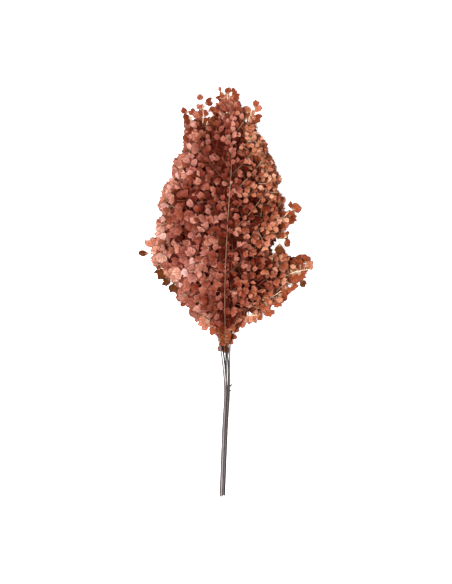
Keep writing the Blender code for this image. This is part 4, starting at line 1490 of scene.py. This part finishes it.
def stemTree():
    tree, start = newTree("stemTubes", {"Sides": "Int", "Material": "Material"})
    ring = nodeOf(tree, "GeometryNodeCurvePrimitiveCircle")
    ring.inputs["Radius"].default_value = 1
    tree.links.new(start.outputs["Sides"], ring.inputs["Resolution"])
    tube = nodeOf(tree, "GeometryNodeCurveToMesh")
    tube.inputs["Fill Caps"].default_value = True
    tree.links.new(ring.outputs[0], tube.inputs["Profile Curve"])
    tree.links.new(named(tree, "thick"), tube.inputs["Scale"])
    curve, smooth = nodeOf(tree, "GeometryNodeMeshToCurve"), nodeOf(tree, "GeometryNodeSetShadeSmooth")
    return endTree(tree, start, start, curve, tube, smooth)


def grown(name, mesh, tree, values):
    # Runs a tree on a mesh and keeps its result as a plain mesh
    piece = bpy.data.objects.new(name, mesh)
    bpy.context.scene.collection.objects.link(piece)
    modifier = piece.modifiers.new(tree.name, "NODES")
    modifier.node_group = tree
    for item in tree.interface.items_tree:
        if item.in_out == "INPUT" and item.name in values:
            modifier[item.identifier] = values[item.name]
    bpy.context.view_layer.update()
    evaluated = piece.evaluated_get(bpy.context.evaluated_depsgraph_get())
    result = bpy.data.meshes.new_from_object(evaluated)
    result.name = name
    piece.modifiers.clear()
    piece.data = result
    return piece


def leafletPoints(leaflets):
    mesh = bpy.data.meshes.new("leafletPoints")
    mesh.from_pydata([leaf["point"] for leaf in leaflets], [], [])
    for key in ("size", "tint", "outer", "olive", "rosy", "orange", "shape"):
        layer = mesh.attributes.new(key, "INT" if key == "shape" else "FLOAT", "POINT")
        layer.data.foreach_set("value", [leaf[key] for leaf in leaflets])
    turns = mesh.attributes.new("turn", "FLOAT_VECTOR", "POINT")
    turns.data.foreach_set("vector", [value for leaf in leaflets for value in leaf["turn"]])
    return mesh


def stemLines(stems):
    points, edges, thick, pale = [], [], [], []
    for path, startRadius, endRadius, startPale, endPale in stems:
        first = len(points)
        for index, point in enumerate(path):
            share = index / (len(path) - 1)
            points.append(point)
            thick.append(startRadius + (endRadius - startRadius) * share)
            pale.append(startPale + (endPale - startPale) * share)
            if index:
                edges.append((first + index - 1, first + index))
    mesh = bpy.data.meshes.new("stemLines")
    mesh.from_pydata(points, edges, [])
    for key, values in (("thick", thick), ("pale", pale)):
        layer = mesh.attributes.new(key, "FLOAT", "POINT")
        layer.data.foreach_set("value", values)
    return mesh


def makeFronds():
    leafMaterial, stemMaterial = driedLeafMaterial(), wiryStalkMaterial()
    scatter, tubes = leafletTree(), stemTree()
    grownFronds = {name: growFrond(name, spec) for name, spec in fronds.items()}
    growInfill(grownFronds)
    shadeDeep(grownFronds)
    for number, (name, (leaflets, stems)) in enumerate(grownFronds.items()):
        leafValues = {
            "Leaflet Shapes": shapes,
            "Leaflet Length": leaflet["length"],
            "Smallest": leaflet["smallest"],
            "Largest": leaflet["largest"],
            "Seed": leaflet["seed"] + number,
            "Material": leafMaterial,
        }
        leaves = grown(name.replace("frond", "leaves"), leafletPoints(leaflets), scatter, leafValues)
        stemValues = {"Sides": stalkForm["sides"], "Material": stemMaterial}
        lines = grown(name.replace("frond", "stems"), stemLines(stems), tubes, stemValues)
        for piece, slot in ((leaves, "dried_leaf"), (lines, "stalk")):
            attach(piece, "root")
            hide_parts(name)
            print(piece.name, "faces", len(piece.data.polygons))
        print(name, "leaflets", len(leaflets), "stems", len(stems))
    for helper in list(shapes.objects):
        bpy.data.objects.remove(helper)
    bpy.data.collections.remove(shapes)
    print("leaflets in all", sum(len(leaflets) for leaflets, _ in grownFronds.values()))


# The floor, the lights and the camera
studio = {
    "floorSize": 6.0,
    "floorColour": (0.93, 0.93, 0.93),
    "floorGlow": 0.75,
    "floorRoughness": 0.9,
    "skyStrength": 0.44,
    "keyPlace": (-0.35, -0.1, 1.6),
    "keySize": 0.5,
    "keyPower": 56,
    "cameraHeight": 3.0,
    "pixelSize": 1.1 * mm,
    "imageHeight": 584,
    "sensor": 36,
    "middleHeight": 10 * mm,
    "centre": (-0.2 * mm, 0.8 * mm),
}


def makeStudio():
    half = studio["floorSize"] / 2
    corners = [(x * half, y * half, 0) for x, y in ((-1, -1), (1, -1), (1, 1), (-1, 1))]
    mesh = bpy.data.meshes.new("floor")
    mesh.from_pydata(corners, [], [(0, 1, 2, 3)])
    floor = bpy.data.objects.new("floor", mesh)
    bpy.context.scene.collection.objects.link(floor)
    material, tree, shader, _ = newMaterial("paleFloor")
    shader.inputs["Base Color"].default_value = (*studio["floorColour"], 1)
    shader.inputs["Roughness"].default_value = studio["floorRoughness"]
    shader.inputs["Specular IOR Level"].default_value = 0
    shader.inputs["Emission Color"].default_value = (1, 1, 1, 1)
    seen = nodeOf(tree, "ShaderNodeLightPath").outputs["Is Camera Ray"]
    tree.links.new(product(tree, seen, studio["floorGlow"]), shader.inputs["Emission Strength"])
    mesh.materials.append(material)

    world = bpy.data.worlds.new("studio")
    bpy.context.scene.world = world
    world.use_nodes = True
    world.node_tree.nodes["Background"].inputs[0].default_value = (1, 1, 1, 1)
    world.node_tree.nodes["Background"].inputs[1].default_value = studio["skyStrength"]

    light = bpy.data.lights.new("key", "AREA")
    light.size = studio["keySize"]
    light.energy = studio["keyPower"]
    key = bpy.data.objects.new("key", light)
    key.location = studio["keyPlace"]
    key.rotation_euler = (-Vector(studio["keyPlace"])).to_track_quat("-Z", "Y").to_euler()
    bpy.context.scene.collection.objects.link(key)

    lens = bpy.data.cameras.new("camera")
    height = studio["cameraHeight"] - studio["middleHeight"]
    lens.sensor_fit = "VERTICAL"
    lens.sensor_height = studio["sensor"]
    lens.lens = studio["sensor"] * height / (studio["pixelSize"] * studio["imageHeight"])
    camera = bpy.data.objects.new("camera", lens)
    camera.location = (*studio["centre"], studio["cameraHeight"])
    bpy.context.scene.collection.objects.link(camera)
    bpy.context.scene.camera = camera
    bpy.context.scene.view_settings.view_transform = "Standard"


furrowPath = spineOf(fronds["frond_middle"])[1]
shapes = leafletShapes()
shapeCorners = cornersOf(shapes)
shapeRims = [rimOf(corners) for corners in shapeCorners]
makeFronds()
makeStudio()
